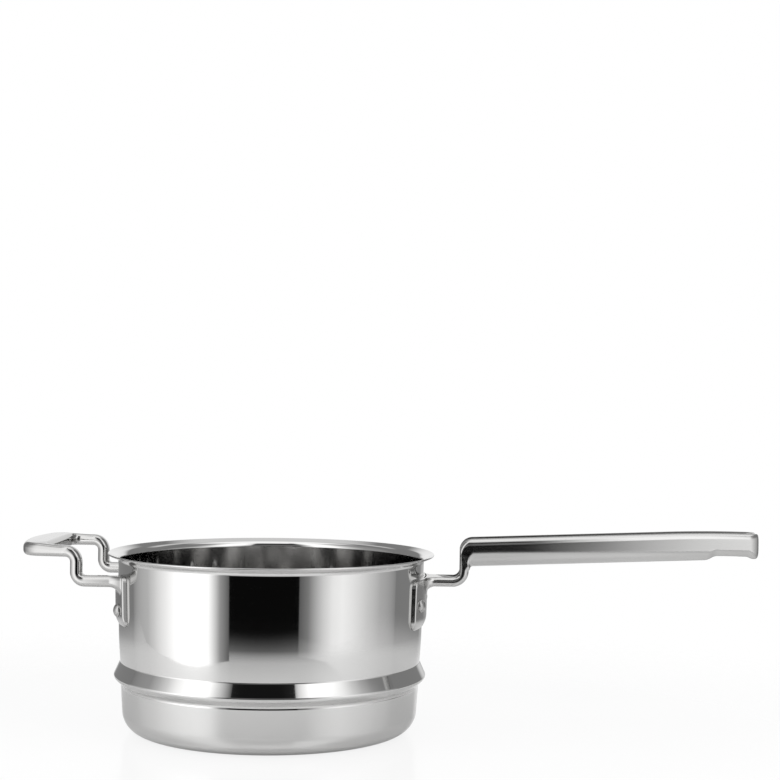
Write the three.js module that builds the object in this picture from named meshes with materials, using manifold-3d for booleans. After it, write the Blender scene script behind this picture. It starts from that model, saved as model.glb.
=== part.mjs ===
// Steamer insert for a 20 cm saucepan: a drawn, perforated steel bowl that drops into the pan until
// its bead rests on the rim, with a long cast handle and a cast helper loop, each held by two rivets.
// Millimetres, +Z up. The origin is the centre of the flat base, and the long handle points along +X.
import * as THREE from "three";
import { mergeVertices } from "three/addons/utils/BufferGeometryUtils.js";
import Module from "manifold-3d";

const wasm = await Module();
wasm.setup();

// Bowl: one sheet, all radii to the outside face
const SHEET = 1.2; // gauge of the steel
const BOWL_HEIGHT = 120; // base to the top of the lip
const BASE_RADIUS = 98.3; // lower wall carried down to the base plane
const BASE_CORNER = 14.5; // fillet between base and lower wall
const SKIRT_FLARE = 2; // spread of the lower wall from the base up to the bead
const BEAD_HEIGHT = 37.8; // base to the bead's corner, before its crest is rounded
const BEAD_REACH = 5.2; // that corner out past the lower wall
const BEAD_FALL = 5.3; // corner down to the lower wall
const BEAD_RUN = 9.7; // corner up to the upper wall
const BEAD_CREST = 2.2; // rounding of the crest
const BEAD_FILLET = 1.8; // rounding where the bead meets the walls
const WAIST_STEP = 0.7; // upper wall out past the lower wall, just above the bead
const SHOULDER_RISE = 16.5; // from there up to where the upper wall's taper eases
const SHOULDER_FLARE = 1; // spread of the upper wall over that rise
const SHOULDER_FILLET = 200;
const MOUTH_FLARE = 1.2; // spread of the upper wall from there up to the lip
const LIP_REACH = 7; // flared lip out past the upper wall
const LIP_SLOPE = 22; // degrees above level
const LIP_FILLET = 3;

// Steam holes in the base, in rings round a solid centre
const HOLE_DIAMETER = 5.5;
const HOLE_RINGS = 5;
const HOLE_MARGIN = 11.3; // start of the base's fillet in to the outer ring
const HOLES_PER_RING_STEP = 6; // each ring has this many more holes than the one inside it

// Fits
const PLATE_CLEARANCE = 0.3; // handle plates to the bowl's wall
const RIVET_CLEARANCE = 0.3; // shank to the holes that it fills
const RIVET_SEAT = 0.45; // rivet heads to the curved faces that they close on

// Handle plates, curved to the bowl's wall
const PLATE_THICKNESS = 2.8;
const PLATE_FOOT = 0.6; // thickness left at the lower edge
const PLATE_FOOT_HEIGHT = 7.5; // height over which the plate thins to its foot
const ROOT_FILLET = 5; // fillet where an arm grows out of its plate

// Long handle: a bent arm that opens into a channel grip with a rounded belly
const HANDLE_PLATE_WIDTH = 71;
const HANDLE_PLATE_HEIGHT = 33.5;
const HANDLE_PLATE_CORNER = 6;
const HANDLE_RIVET_INSET = 9; // plate's side edge to a rivet
const HANDLE_RIVET_DROP = 17.2; // arm's top face down to the rivets
const ARM_DROP = 14.4; // lip down to the arm's top face
const ARM_WIDTH = 24;
const ARM_THICKNESS = 6.2;
const ARM_EDGE = 3; // rounding of the arm's edges
const ARM_HOLLOW = 2; // depth of the channel along the arm and up the riser
const ARM_REACH = 24.3; // wall to the riser's bowl side
const ARM_BEND = 4.5; // inside radius of the bend into the riser
const RISER_LEAN = 0.9; // how far the riser thickens up to the belly
const BELLY_RISE = 7.2; // arm's top face up to the belly
const BELLY_FILLET = 1.3; // between the riser and the belly
const GRIP_BEND = 9; // outside radius of the upper bend
const GRIP_LENGTH = 199.1; // riser's bowl side to the tip
const GRIP_TILT = 2.5; // degrees
const GRIP_WIDTH = 25;
const GRIP_DEPTH = 18.9;
const TOP_FALL = 2; // fall of the rims below their straight line at the tip
const TOP_FALL_LENGTH = 60; // from there back to where they start to fall
const GRIP_HOLLOW = 5; // depth of the channel along the grip
const CHANNEL_RUN_IN = 17; // length over which the channel reaches that depth
const CHANNEL_END = 2; // depth of the channel where the tip begins
const CHANNEL_WALL = 83; // degrees, slope of the channel's walls at its lips
const CHANNEL_SQUARENESS = 14; // highest power of the channel's curve, where it is shallow
const RIM_WIDTH = 4.5; // rounding of the channel's rims, across
const RIM_DEPTH = 5; // and down their outer sides
const BELLY_START = 2.6; // riser's outer face to the belly
const BELLY_ROUND_WIDTH = 10.5; // rounding of the belly, across
const BELLY_ROUND_DEPTH = 11; // and up its sides
const BELLY_END_ROUND_DEPTH = 8.2; // the same at the end of the deep belly
const HOLE_END_DEPTH = 15.8; // depth of the grip round the hanging hole
const HOLE_END_ROUND_DEPTH = 5.8; // rounding up its sides there
const HOLE_END_LENGTH = 35.5; // tip back to the end of the deep belly
const BELLY_STEP = 8.5; // length of the step up to the thinner end
const TIP_LENGTH = 8; // shaped end
const TIP_CORNER = 6.5; // rounding of the end, seen from above
const TIP_ROUND = 2; // rounding of the end face's upper and lower edge
const TIP_LOBE = 1.4; // drop of the lobe under the tip
const TIP_LOBE_LENGTH = 5; // length over which the lobe swells
const HANG_HOLE_LENGTH = 21.5;
const HANG_HOLE_WIDTH = 10.5;
const HANG_HOLE_TO_TIP = 10.2; // solid left past the hole

// Helper loop: one bar that steps up from two pads to a broad flat grip
const PAD_WIDTH = 18;
const PAD_HEIGHT = 33;
const PAD_CORNER = 4;
const LOOP_RIVET_DROP = 22.7; // lower arms' top face down to the rivets
const LOOP_WIDTH = 96; // outside the two legs
const LEG_WIDTH = 10;
const LOOP_DROP = 13.4; // lip down to the lower arms' top face
const LOOP_THICKNESS = 7.4;
const LOOP_EDGE = 3.5; // rounding of the bar's edges
const LOOP_REACH = 21.2; // wall to the middle of the risers
const LOOP_RISE = 19.4; // lower arms up to the grip
const LOOP_LOW_BEND = 6; // middle radius of the lower bend
const LOOP_HIGH_BEND = 7; // middle radius of the upper bend
const LOOP_LEVEL = 1.2; // level run from the upper bend to the grip
const LOOP_OPENING = 12; // from there to the end of the opening
const LOOP_OPENING_CORNER = 5;
const LOOP_GRIP_DEPTH = 17.2; // inner edge to the outer edge at the corners
const LOOP_GRIP_TAPER = 4; // how far each side comes in towards the outer corners
const LOOP_GRIP_CORNER = 9;
const LOOP_GRIP_BULGE = 4.4; // how far the outer edge bows out
const LOOP_GRIP_RISE = 1.4; // how far the top face rises, and the grip thickens, towards the outer edge

// Rivets: solid, with a domed outer head and a low inner one
const RIVET_DIAMETER = 6;
const RIVET_DOME_DIAMETER = 8.8;
const RIVET_DOME_HEIGHT = 3;
const RIVET_HEAD_DIAMETER = 10.5;
const RIVET_HEAD_THICKNESS = 1.8;
const RIVET_HEAD_EDGE = 0.6; // thickness left at its rim

// Facets
const BOWL_SIDES = 64;
const HOLE_SIDES = 8;
const RIVET_SIDES = 16;
const ARC_STEP = 24; // degrees of a profile's arc between points
const GRIP_STEPS = 14; // rings over half of the loop's grip
const TIP_STEPS = 7; // rings over the handle's tip
const HOLLOW_SHARES = [0, 0.6, 0.86]; // where a channel's hollow has points, from its middle to its edge
const EDGE_ANGLES = [0, 45, 90].map(THREE.MathUtils.degToRad);
const BELLY_ANGLES = [0, 30, 60, 90].map(THREE.MathUtils.degToRad);
const FOOT_SHARES = [0, 0.5, 1]; // up the thinned foot of a plate
const ROOT_SHARES = [0, 0.12, 0.4]; // out along a root fillet

const steel = (name, roughness) =>
  new THREE.MeshStandardMaterial({ name, color: 0xc9c9c7, roughness, metalness: 1 });
const radians = THREE.MathUtils.degToRad;
const vector = (x, y, z) => new THREE.Vector3(x, y, z);

// Solids

function solidOf(geometry) {
  const bare = geometry.clone();
  bare.deleteAttribute("normal");
  bare.deleteAttribute("uv");
  const merged = mergeVertices(bare, 1e-4);
  const vertProperties = merged.getAttribute("position").array;
  const triVerts = new Uint32Array(merged.index.array);
  return new wasm.Manifold(new wasm.Mesh({ numProp: 3, vertProperties, triVerts }));
}

function meshOf(name, solid, material) {
  const { vertProperties, triVerts } = solid.getMesh();
  const geometry = new THREE.BufferGeometry();
  geometry.setAttribute("position", new THREE.BufferAttribute(vertProperties, 3));
  geometry.setIndex(new THREE.BufferAttribute(triVerts, 1));
  geometry.computeVertexNormals();
  const mesh = new THREE.Mesh(geometry, material);
  mesh.name = name;
  return mesh;
}

// A closed profile of [radius, height] points turned about the Z axis
function revolve(profile, sides) {
  const points = profile.map(([radius, height]) => new THREE.Vector2(radius, height));
  return new THREE.LatheGeometry(points, sides).rotateX(Math.PI / 2);
}

// A skin over rings of equal point counts, closed at both ends. Each ring runs from its up side
// towards its across side, where across, up and the way along the loft are right-handed.
function loft(rings) {
  const count = rings[0].length;
  const middle = (ring) => ring.reduce((sum, p) => sum.add(p), vector(0, 0, 0)).divideScalar(count);
  const points = [...rings.flat(), middle(rings[0]), middle(rings.at(-1))];
  const [startPole, endPole] = [points.length - 2, points.length - 1];
  const lastRing = (rings.length - 1) * count;
  const index = [];
  for (let j = 0; j < count; j++) {
    const next = (j + 1) % count;
    index.push(startPole, j, next, endPole, lastRing + next, lastRing + j);
    for (let start = 0; start < lastRing; start += count) {
      const [a, b, c, d] = [start + j, start + next, start + count + next, start + count + j];
      index.push(a, d, c, a, c, b);
    }
  }
  const geometry = new THREE.BufferGeometry().setFromPoints(points);
  geometry.setIndex(index);
  return geometry;
}

// Profiles: a corner is [x, y, fillet]

const along = (a, b) => {
  const length = Math.hypot(b[0] - a[0], b[1] - a[1]);
  return [(b[0] - a[0]) / length, (b[1] - a[1]) / length];
};

// The signed turn at each inner corner of a polyline, anticlockwise positive
const turnBetween = (u, v) => Math.atan2(u[0] * v[1] - u[1] * v[0], u[0] * v[0] + u[1] * v[1]);

// The polyline with each filleted corner replaced by points on its arc
function roundCorners(corners) {
  return corners.flatMap(([x, y, fillet = 0], i) => {
    if (!fillet || i === 0 || i === corners.length - 1) return [[x, y]];
    const u = along(corners[i - 1], [x, y]);
    const v = along([x, y], corners[i + 1]);
    const turn = turnBetween(u, v);
    const cut = fillet * Math.tan(Math.abs(turn) / 2);
    const side = Math.sign(turn);
    const from = [x - u[0] * cut, y - u[1] * cut];
    const centre = [from[0] - side * fillet * u[1], from[1] + side * fillet * u[0]];
    const steps = Math.max(1, Math.round(Math.abs(turn) / radians(ARC_STEP)));
    const start = Math.atan2(from[1] - centre[1], from[0] - centre[0]);
    return Array.from({ length: steps + 1 }, (_, k) => {
      const angle = start + (turn * k) / steps;
      return [centre[0] + fillet * Math.cos(angle), centre[1] + fillet * Math.sin(angle)];
    });
  });
}

// The same corners moved a distance to the left of travel, with their fillets to match
function offsetCorners(corners, distance) {
  const ways = corners.slice(1).map((corner, i) => along(corners[i], corner));
  return corners.map(([x, y, fillet = 0], i) => {
    const u = ways[Math.max(i - 1, 0)];
    const v = ways[Math.min(i, ways.length - 1)];
    const turn = turnBetween(u, v);
    const slide = distance * Math.tan(turn / 2);
    const radius = fillet && fillet - Math.sign(turn) * distance;
    return [x - u[1] * distance - u[0] * slide, y + u[0] * distance - u[1] * slide, radius];
  });
}

// Bowl

const lipEdge = BOWL_HEIGHT - SHEET * Math.cos(radians(LIP_SLOPE));
const mouthHeight = lipEdge - LIP_REACH * Math.tan(radians(LIP_SLOPE));
const beadBottom = BEAD_HEIGHT - BEAD_FALL;
const beadTop = BEAD_HEIGHT + BEAD_RUN;
const shoulderHeight = beadTop + SHOULDER_RISE;
const skirtRadius = BASE_RADIUS + SKIRT_FLARE;
const waistRadius = skirtRadius + WAIST_STEP;
const shoulderRadius = waistRadius + SHOULDER_FLARE;
const mouthRadius = shoulderRadius + MOUTH_FLARE;

// Outside radius of the upper wall, where the handles are fixed
function wallRadius(height) {
  const share = (height - shoulderHeight) / (mouthHeight - shoulderHeight);
  return shoulderRadius + share * MOUTH_FLARE;
}

function bowlSheet() {
  const outside = [
    [0, 0],
    [BASE_RADIUS, 0, BASE_CORNER],
    [skirtRadius, beadBottom, BEAD_FILLET],
    [skirtRadius + BEAD_REACH, BEAD_HEIGHT, BEAD_CREST],
    [waistRadius, beadTop, BEAD_FILLET],
    [shoulderRadius, shoulderHeight, SHOULDER_FILLET],
    [mouthRadius, mouthHeight, LIP_FILLET],
    [mouthRadius + LIP_REACH, lipEdge],
  ];
  const inside = offsetCorners(outside, SHEET);
  const profile = [...roundCorners(outside), ...roundCorners(inside).reverse()];
  return solidOf(revolve(profile, BOWL_SIDES));
}

function steamHoles() {
  const outerRing = BASE_RADIUS - BASE_CORNER - HOLE_MARGIN;
  const radius = HOLE_DIAMETER / 2;
  const punch = new THREE.CylinderGeometry(radius, radius, 4 * SHEET, HOLE_SIDES).rotateX(Math.PI / 2);
  const holes = [];
  for (let ring = 1; ring <= HOLE_RINGS; ring++) {
    const count = ring * HOLES_PER_RING_STEP;
    const out = (outerRing * ring) / HOLE_RINGS;
    for (let k = 0; k < count; k++) {
      const angle = (2 * Math.PI * k) / count;
      holes.push(solidOf(punch.clone().translate(out * Math.cos(angle), out * Math.sin(angle), 0)));
    }
  }
  return holes;
}

// Rivets

const armTop = BOWL_HEIGHT - ARM_DROP;
const loopTop = BOWL_HEIGHT - LOOP_DROP;
const handleRivetHeight = armTop - HANDLE_RIVET_DROP;
const loopRivetHeight = loopTop - LOOP_RIVET_DROP;
const legMiddle = (LOOP_WIDTH - LEG_WIDTH) / 2;
const plateFace = (height) => wallRadius(height) + PLATE_CLEARANCE + PLATE_THICKNESS;
const handleRivetSide = HANDLE_PLATE_WIDTH / 2 - HANDLE_RIVET_INSET;
const handleRivetAngle = Math.asin(handleRivetSide / plateFace(handleRivetHeight));
const loopRivetAngle = Math.asin(legMiddle / plateFace(loopRivetHeight));

const rivets = [
  { name: "handle_rivet_near", angle: -handleRivetAngle, height: handleRivetHeight },
  { name: "handle_rivet_far", angle: handleRivetAngle, height: handleRivetHeight },
  { name: "loop_rivet_near", angle: Math.PI + loopRivetAngle, height: loopRivetHeight },
  { name: "loop_rivet_far", angle: Math.PI - loopRivetAngle, height: loopRivetHeight },
];

// Lays a shape that was turned about Z along a rivet's axis, pointing out from the bowl
const layOnAxis = (geometry, { angle, height }) =>
  geometry.rotateY(Math.PI / 2).rotateZ(angle).translate(0, 0, height);

function rivetSolid(rivet) {
  const shank = RIVET_DIAMETER / 2;
  const dome = RIVET_DOME_DIAMETER / 2;
  const head = RIVET_HEAD_DIAMETER / 2;
  const inner = wallRadius(rivet.height) - SHEET - RIVET_SEAT;
  const outer = plateFace(rivet.height) + RIVET_SEAT;
  const crown = new THREE.EllipseCurve(0, outer, dome, RIVET_DOME_HEIGHT, 0, Math.PI / 2).getPoints(4);
  const profile = [
    [0, inner - RIVET_HEAD_THICKNESS],
    [shank, inner - RIVET_HEAD_THICKNESS],
    [head, inner - RIVET_HEAD_EDGE],
    [head, inner],
    [shank, inner],
    [shank, outer],
    ...crown.map((p) => [p.x, p.y]),
  ];
  profile[profile.length - 1][0] = 0;
  return solidOf(layOnAxis(revolve(profile, RIVET_SIDES), rivet));
}

function rivetHole(rivet) {
  const radius = RIVET_DIAMETER / 2 + RIVET_CLEARANCE;
  const inner = wallRadius(rivet.height) - 4 * SHEET;
  const outer = plateFace(rivet.height) + RIVET_DOME_HEIGHT + ROOT_FILLET;
  const profile = [
    [0, inner],
    [radius, inner],
    [radius, outer],
    [0, outer],
  ];
  return solidOf(layOnAxis(revolve(profile, RIVET_SIDES), rivet));
}

// Handle plates

// A band round the wall, thinned towards its lower edge, and kept only within an outline seen along X
function wallPlate(side, middle, width, height, corner, top) {
  const bottom = top - height;
  const back = (z) => [wallRadius(z) + PLATE_CLEARANCE, z];
  const foot = FOOT_SHARES.map((share) => {
    const thinned = (PLATE_THICKNESS - PLATE_FOOT) * (1 - Math.sin((share * Math.PI) / 2));
    const z = bottom + share * PLATE_FOOT_HEIGHT;
    return [plateFace(z) - thinned, z];
  });
  const band = [back(bottom), ...foot, [plateFace(top), top], back(top), back(bottom)];
  const half = width / 2;
  const outline = roundCorners([
    [middle, bottom],
    [middle + half, bottom, corner],
    [middle + half, top, corner],
    [middle - half, top, corner],
    [middle - half, bottom, corner],
    [middle, bottom],
  ]);
  const shape = new THREE.Shape(outline.map(([y, z]) => new THREE.Vector2(y, z)));
  const reach = plateFace(top) + PLATE_THICKNESS;
  const cutter = new THREE.ExtrudeGeometry(shape, { depth: reach, bevelEnabled: false });
  cutter.rotateX(Math.PI / 2).rotateZ(Math.PI / 2);
  if (side < 0) cutter.translate(-reach, 0, 0);
  return solidOf(revolve(band, BOWL_SIDES)).intersect(solidOf(cutter));
}

// What the bowl's wall and its clearance take away from a handle that runs up to it
function wallCore() {
  const core = [shoulderHeight, mouthHeight].map((z) => [wallRadius(z) + PLATE_CLEARANCE, z]);
  return solidOf(revolve([[0, shoulderHeight], ...core, [0, mouthHeight]], BOWL_SIDES));
}

// How far a root fillet stands out from its arm at a distance from the plate's face
function filletAt(distance) {
  const left = ROOT_FILLET - THREE.MathUtils.clamp(distance, 0, ROOT_FILLET);
  return ROOT_FILLET - Math.sqrt(ROOT_FILLET ** 2 - left ** 2);
}

// Distances from the plate's face at which a root has a ring, the first well inside the bowl's wall
const rootDistances = [-3 * PLATE_THICKNESS, ...ROOT_SHARES.map((share) => share * ROOT_FILLET)];

// Long handle

// Half of a channel section, from the middle of its hollow to the middle of its belly, as [y, depth].
// The hollow is a power curve, as square as it must be for its walls to reach their slope at the lips.
function channelHalf({ width, depth, hollow, rimWidth, rimDepth, roundWidth, roundDepth }) {
  const half = width / 2;
  const lip = half - rimWidth;
  const shoulder = depth - roundDepth;
  const steepest = (Math.tan(radians(CHANNEL_WALL)) * lip) / Math.max(hollow, 1e-6);
  const power = Math.min(steepest, CHANNEL_SQUARENESS);
  const belly = (a) => [half - roundWidth * (1 - Math.cos(a)), shoulder + roundDepth * Math.sin(a)];
  return [
    ...HOLLOW_SHARES.map((share) => [lip * share, hollow * (1 - share ** power)]),
    ...EDGE_ANGLES.map((a) => [lip + rimWidth * Math.sin(a), rimDepth * (1 - Math.cos(a))]),
    ...BELLY_ANGLES.map(belly),
    [0, depth],
  ];
}

// A ring of a channel section whose depth runs from a point on the top face to one on the underside
function channelRing(top, under, section) {
  const depth = top.distanceTo(under);
  const down = under.clone().sub(top).divideScalar(depth);
  const half = channelHalf({ ...section, depth });
  const mirrored = half.slice(1, -1).reverse().map(([y, d]) => [-y, d]);
  return [...half, ...mirrored].map(([y, d]) => vector(top.x + down.x * d, y, top.y + down.y * d));
}

// The section that lies a share of the way from one to another
function mixSection(a, b, share) {
  const mixed = Object.keys(a).map((key) => [key, THREE.MathUtils.lerp(a[key], b[key], share)]);
  return Object.fromEntries(mixed);
}

// Where the long handle's main faces lie in the XZ plane
const riser = wallRadius(armTop) + ARM_REACH;
const riserOuter = riser + ARM_THICKNESS;
const bellyStart = riserOuter + BELLY_START;
const tip = riser + GRIP_LENGTH;
const rimLine = (x) => armTop + BELLY_RISE + GRIP_DEPTH + (x - bellyStart) * Math.tan(radians(GRIP_TILT));
const topAt = (x) => rimLine(x) - TOP_FALL * (Math.max(x - tip + TOP_FALL_LENGTH, 0) / TOP_FALL_LENGTH) ** 2;
const thinAt = (x) => topAt(x) - HOLE_END_DEPTH;

// Stretches of the long handle in turn, each between a line of its top face and one of its underside
function handleStretches() {
  const point = (x, z) => new THREE.Vector2(x, z);
  const line = (from, to) => new THREE.LineCurve(from, to);
  const curve = (from, control, to) => new THREE.QuadraticBezierCurve(from, control, to);
  const arc = (centre, radius, from, to) =>
    new THREE.EllipseCurve(centre.x, centre.y, radius, radius, radians(from), radians(to), from > to);
  const topPoint = (x) => point(x, topAt(x));
  const bellyPoint = (x) => point(x, rimLine(x) - GRIP_DEPTH);
  const thinPoint = (x) => point(x, thinAt(x));
  const alongX = (place, from, to) => ({ getPoint: (t) => place(THREE.MathUtils.lerp(from, to, t)) });

  const armUnder = armTop - ARM_THICKNESS;
  const root = plateFace(armTop) + ROOT_FILLET;
  const lowBend = point(riser - ARM_BEND, armTop + ARM_BEND);
  const gripStart = riser + GRIP_BEND;
  const highBend = point(gripStart, topAt(gripStart) - GRIP_BEND);
  const innerCorner = point(riserOuter + RISER_LEAN, topAt(bellyStart) - GRIP_DEPTH);
  const riserTop = point(innerCorner.x, innerCorner.y - BELLY_FILLET);
  const channelStart = gripStart + CHANNEL_RUN_IN;
  const bellyEnd = tip - HOLE_END_LENGTH;
  const thinStart = bellyEnd + BELLY_STEP;
  const tipStart = tip - TIP_LENGTH;

  const edges = { rimWidth: ARM_EDGE, rimDepth: ARM_EDGE, roundWidth: ARM_EDGE, roundDepth: ARM_EDGE };
  const rounded = {
    rimWidth: RIM_WIDTH,
    rimDepth: RIM_DEPTH,
    roundWidth: BELLY_ROUND_WIDTH,
    roundDepth: BELLY_ROUND_DEPTH,
  };
  const flat = { width: ARM_WIDTH, hollow: 0, ...edges };
  const strip = { width: ARM_WIDTH, hollow: ARM_HOLLOW, ...edges };
  const belly = { width: GRIP_WIDTH, hollow: ARM_HOLLOW, ...rounded };
  const channel = { width: GRIP_WIDTH, hollow: GRIP_HOLLOW, ...rounded };
  const bellyLast = { ...channel, roundDepth: BELLY_END_ROUND_DEPTH };
  const thin = { ...channel, roundDepth: HOLE_END_ROUND_DEPTH };
  const thinLast = { ...thin, hollow: CHANNEL_END };

  return [
    {
      top: line(point(root, armTop), point(lowBend.x, armTop)),
      under: line(point(root, armUnder), point(lowBend.x, armUnder)),
      from: flat,
      to: strip,
      steps: 1,
    },
    {
      top: arc(lowBend, ARM_BEND, 270, 360),
      under: arc(lowBend, ARM_BEND + ARM_THICKNESS, 270, 360),
      from: strip,
      to: strip,
      steps: 4,
    },
    {
      top: line(point(riser, lowBend.y), point(riser, highBend.y)),
      under: line(point(riserOuter, lowBend.y), riserTop),
      from: strip,
      to: strip,
      steps: 2,
    },
    {
      top: arc(highBend, GRIP_BEND, 180, 90),
      under: curve(riserTop, innerCorner, bellyPoint(bellyStart)),
      from: strip,
      to: belly,
      steps: 4,
    },
    {
      top: alongX(topPoint, gripStart, channelStart),
      under: alongX(bellyPoint, bellyStart, channelStart),
      from: belly,
      to: channel,
      steps: 3,
    },
    {
      top: alongX(topPoint, channelStart, bellyEnd),
      under: alongX(bellyPoint, channelStart, bellyEnd),
      from: channel,
      to: bellyLast,
      steps: 6,
    },
    {
      top: alongX(topPoint, bellyEnd, thinStart),
      under: line(bellyPoint(bellyEnd), thinPoint(thinStart)),
      from: bellyLast,
      to: thin,
      steps: 2,
    },
    {
      top: alongX(topPoint, thinStart, tipStart),
      under: alongX(thinPoint, thinStart, tipStart),
      from: thin,
      to: thinLast,
      steps: 2,
    },
  ];
}

// How far a rounding of the tip has come in from its side, at a place along the handle
function turnedIn(x, radius) {
  const past = THREE.MathUtils.clamp(x - tip + radius, 0, radius);
  return radius - Math.sqrt(radius ** 2 - past ** 2);
}

// The end of the handle, where its sides turn in and a lobe swells under it
function tipRings(section) {
  return Array.from({ length: TIP_STEPS }, (_, i) => {
    const x = tip - TIP_LENGTH * (1 - Math.sin(((i + 1) / TIP_STEPS) * (Math.PI / 2)));
    const past = x - tip + TIP_LENGTH;
    const share = past / TIP_LENGTH;
    const edge = turnedIn(x, TIP_ROUND);
    const lobe = TIP_LOBE * THREE.MathUtils.smoothstep(past, 0, TIP_LOBE_LENGTH);
    const top = new THREE.Vector2(x, topAt(x) - edge);
    const under = new THREE.Vector2(x, thinAt(x) - lobe + edge);
    const narrowed = 1 - (2 * turnedIn(x, TIP_CORNER)) / GRIP_WIDTH;
    const flattened = Math.min((top.y - under.y) / HOLE_END_DEPTH, 1);
    return channelRing(top, under, {
      width: section.width * narrowed,
      hollow: section.hollow * (1 - share),
      rimWidth: section.rimWidth * narrowed,
      rimDepth: section.rimDepth * flattened,
      roundWidth: section.roundWidth * narrowed,
      roundDepth: section.roundDepth * flattened,
    });
  });
}

function longHandleBody() {
  const stretches = handleStretches();
  const flat = stretches[0].from;
  const rings = rootDistances.map((distance) => {
    const flare = filletAt(distance);
    const x = plateFace(armTop) + distance;
    const top = new THREE.Vector2(x, armTop);
    const under = new THREE.Vector2(x, armTop - ARM_THICKNESS - flare);
    return channelRing(top, under, { ...flat, width: ARM_WIDTH + 2 * flare });
  });
  stretches.forEach(({ top, under, from, to, steps }, k) => {
    for (let i = k ? 1 : 0; i <= steps; i++) {
      const share = i / steps;
      const section = mixSection(from, to, share);
      rings.push(channelRing(top.getPoint(share), under.getPoint(share), section));
    }
  });
  return solidOf(loft([...rings, ...tipRings(stretches.at(-1).to)]));
}

function hangingHole() {
  const length = HANG_HOLE_LENGTH;
  const round = HANG_HOLE_WIDTH / 2;
  const outline = roundCorners([
    [0, -round],
    [length / 2, -round, round],
    [length / 2, round, round],
    [-length / 2, round, round],
    [-length / 2, -round, round],
    [0, -round],
  ]);
  const shape = new THREE.Shape(outline.slice(0, -1).map(([x, y]) => new THREE.Vector2(x, y)));
  const depth = 4 * GRIP_DEPTH;
  const punch = new THREE.ExtrudeGeometry(shape, { depth, bevelEnabled: false });
  const middle = tip - HANG_HOLE_TO_TIP - length / 2;
  return solidOf(punch.translate(middle, 0, topAt(middle) - depth / 2));
}

function longHandle() {
  const plate = wallPlate(1, 0, HANDLE_PLATE_WIDTH, HANDLE_PLATE_HEIGHT, HANDLE_PLATE_CORNER, armTop);
  return longHandleBody().subtract(wallCore()).add(plate).subtract(hangingHole());
}

// Helper loop

// A rounded rectangle between the loop's outer and inner edge, as thick as given along up
function barRing(outer, inner, up, thickness) {
  const middle = outer.clone().add(inner).divideScalar(2);
  const half = outer.distanceTo(inner) / 2;
  const across = inner.clone().sub(outer).divideScalar(2 * half);
  const ring = [];
  for (let corner = 0; corner < 4; corner++) {
    const acrossSign = corner < 2 ? 1 : -1;
    const upSign = corner === 0 || corner === 3 ? 1 : -1;
    for (const step of EDGE_ANGLES) {
      const angle = ((1 - corner) * Math.PI) / 2 - step;
      const a = acrossSign * (half - LOOP_EDGE) + LOOP_EDGE * Math.cos(angle);
      const u = upSign * (thickness / 2 - LOOP_EDGE) + LOOP_EDGE * Math.sin(angle);
      ring.push(middle.clone().addScaledVector(across, a).addScaledVector(up, u));
    }
  }
  return ring;
}

// Where the loop's bar runs
const loopLow = loopTop - LOOP_THICKNESS / 2;
const loopHigh = loopLow + LOOP_RISE;
const loopRiser = wallRadius(loopTop) + LOOP_REACH;
const loopGripStart = loopRiser + LOOP_HIGH_BEND + LOOP_LEVEL;
const loopOuter = LOOP_WIDTH / 2;
const loopInner = loopOuter - LEG_WIDTH;

// The far leg, from inside the wall out to where the grip begins
function farLegRings() {
  const face = Math.sqrt(plateFace(loopTop) ** 2 - legMiddle ** 2);
  const path = roundCorners([
    [face + ROOT_FILLET, loopLow],
    [loopRiser, loopLow, LOOP_LOW_BEND],
    [loopRiser, loopHigh, LOOP_HIGH_BEND],
    [loopGripStart, loopHigh],
  ]);
  const roots = rootDistances.map((distance) => {
    const flare = filletAt(distance);
    const side = Math.min(flare, (PAD_WIDTH - LEG_WIDTH) / 2);
    const outer = vector(-face - distance, loopOuter + side, loopLow - flare / 2);
    const inner = vector(-face - distance, loopInner - side, loopLow - flare / 2);
    return barRing(outer, inner, vector(0, 0, 1), LOOP_THICKNESS + flare);
  });
  const bar = path.map(([reach, z], i) => {
    const before = path[Math.max(i - 1, 0)];
    const after = path[Math.min(i + 1, path.length - 1)];
    const [outwards, upwards] = along(before, after);
    const up = vector(upwards, 0, outwards);
    return barRing(vector(-reach, loopOuter, z), vector(-reach, loopInner, z), up, LOOP_THICKNESS);
  });
  return [...roots, ...bar];
}

// Half of the flat grip, from the end of the far leg to the middle of the loop
function farGripRings() {
  const opening = loopGripStart + LOOP_OPENING;
  const end = opening + LOOP_GRIP_DEPTH;
  const narrow = loopOuter - LOOP_GRIP_TAPER;
  const bowed = narrow - LOOP_GRIP_CORNER;
  const corner = [end - (2 * LOOP_GRIP_BULGE * LOOP_GRIP_CORNER) / bowed, narrow];
  const [outwards, inwards] = along([loopGripStart, loopOuter], corner);
  const turnStart = [corner[0] - LOOP_GRIP_CORNER * outwards, corner[1] - LOOP_GRIP_CORNER * inwards];
  const innerEdge = new THREE.Path();
  innerEdge.moveTo(loopGripStart, loopInner);
  innerEdge.lineTo(opening - LOOP_OPENING_CORNER, loopInner);
  innerEdge.quadraticCurveTo(opening, loopInner, opening, loopInner - LOOP_OPENING_CORNER);
  innerEdge.lineTo(opening, 0);
  const outerEdge = new THREE.Path();
  outerEdge.moveTo(loopGripStart, loopOuter);
  outerEdge.lineTo(...turnStart);
  outerEdge.quadraticCurveTo(...corner, end, bowed);
  outerEdge.quadraticCurveTo(end + LOOP_GRIP_BULGE, bowed / 2, end + LOOP_GRIP_BULGE, 0);
  return Array.from({ length: GRIP_STEPS }, (_, i) => {
    const inner = innerEdge.getPointAt((i + 1) / GRIP_STEPS);
    const outer = outerEdge.getPointAt((i + 1) / GRIP_STEPS);
    const thicker = LOOP_GRIP_RISE * THREE.MathUtils.smoothstep(outer.x, loopGripStart, end);
    const [from, to] = [outer, inner].map((p) => vector(-p.x, p.y, loopHigh + thicker / 2));
    return barRing(from, to, vector(0, 0, 1), LOOP_THICKNESS + thicker);
  });
}

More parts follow.
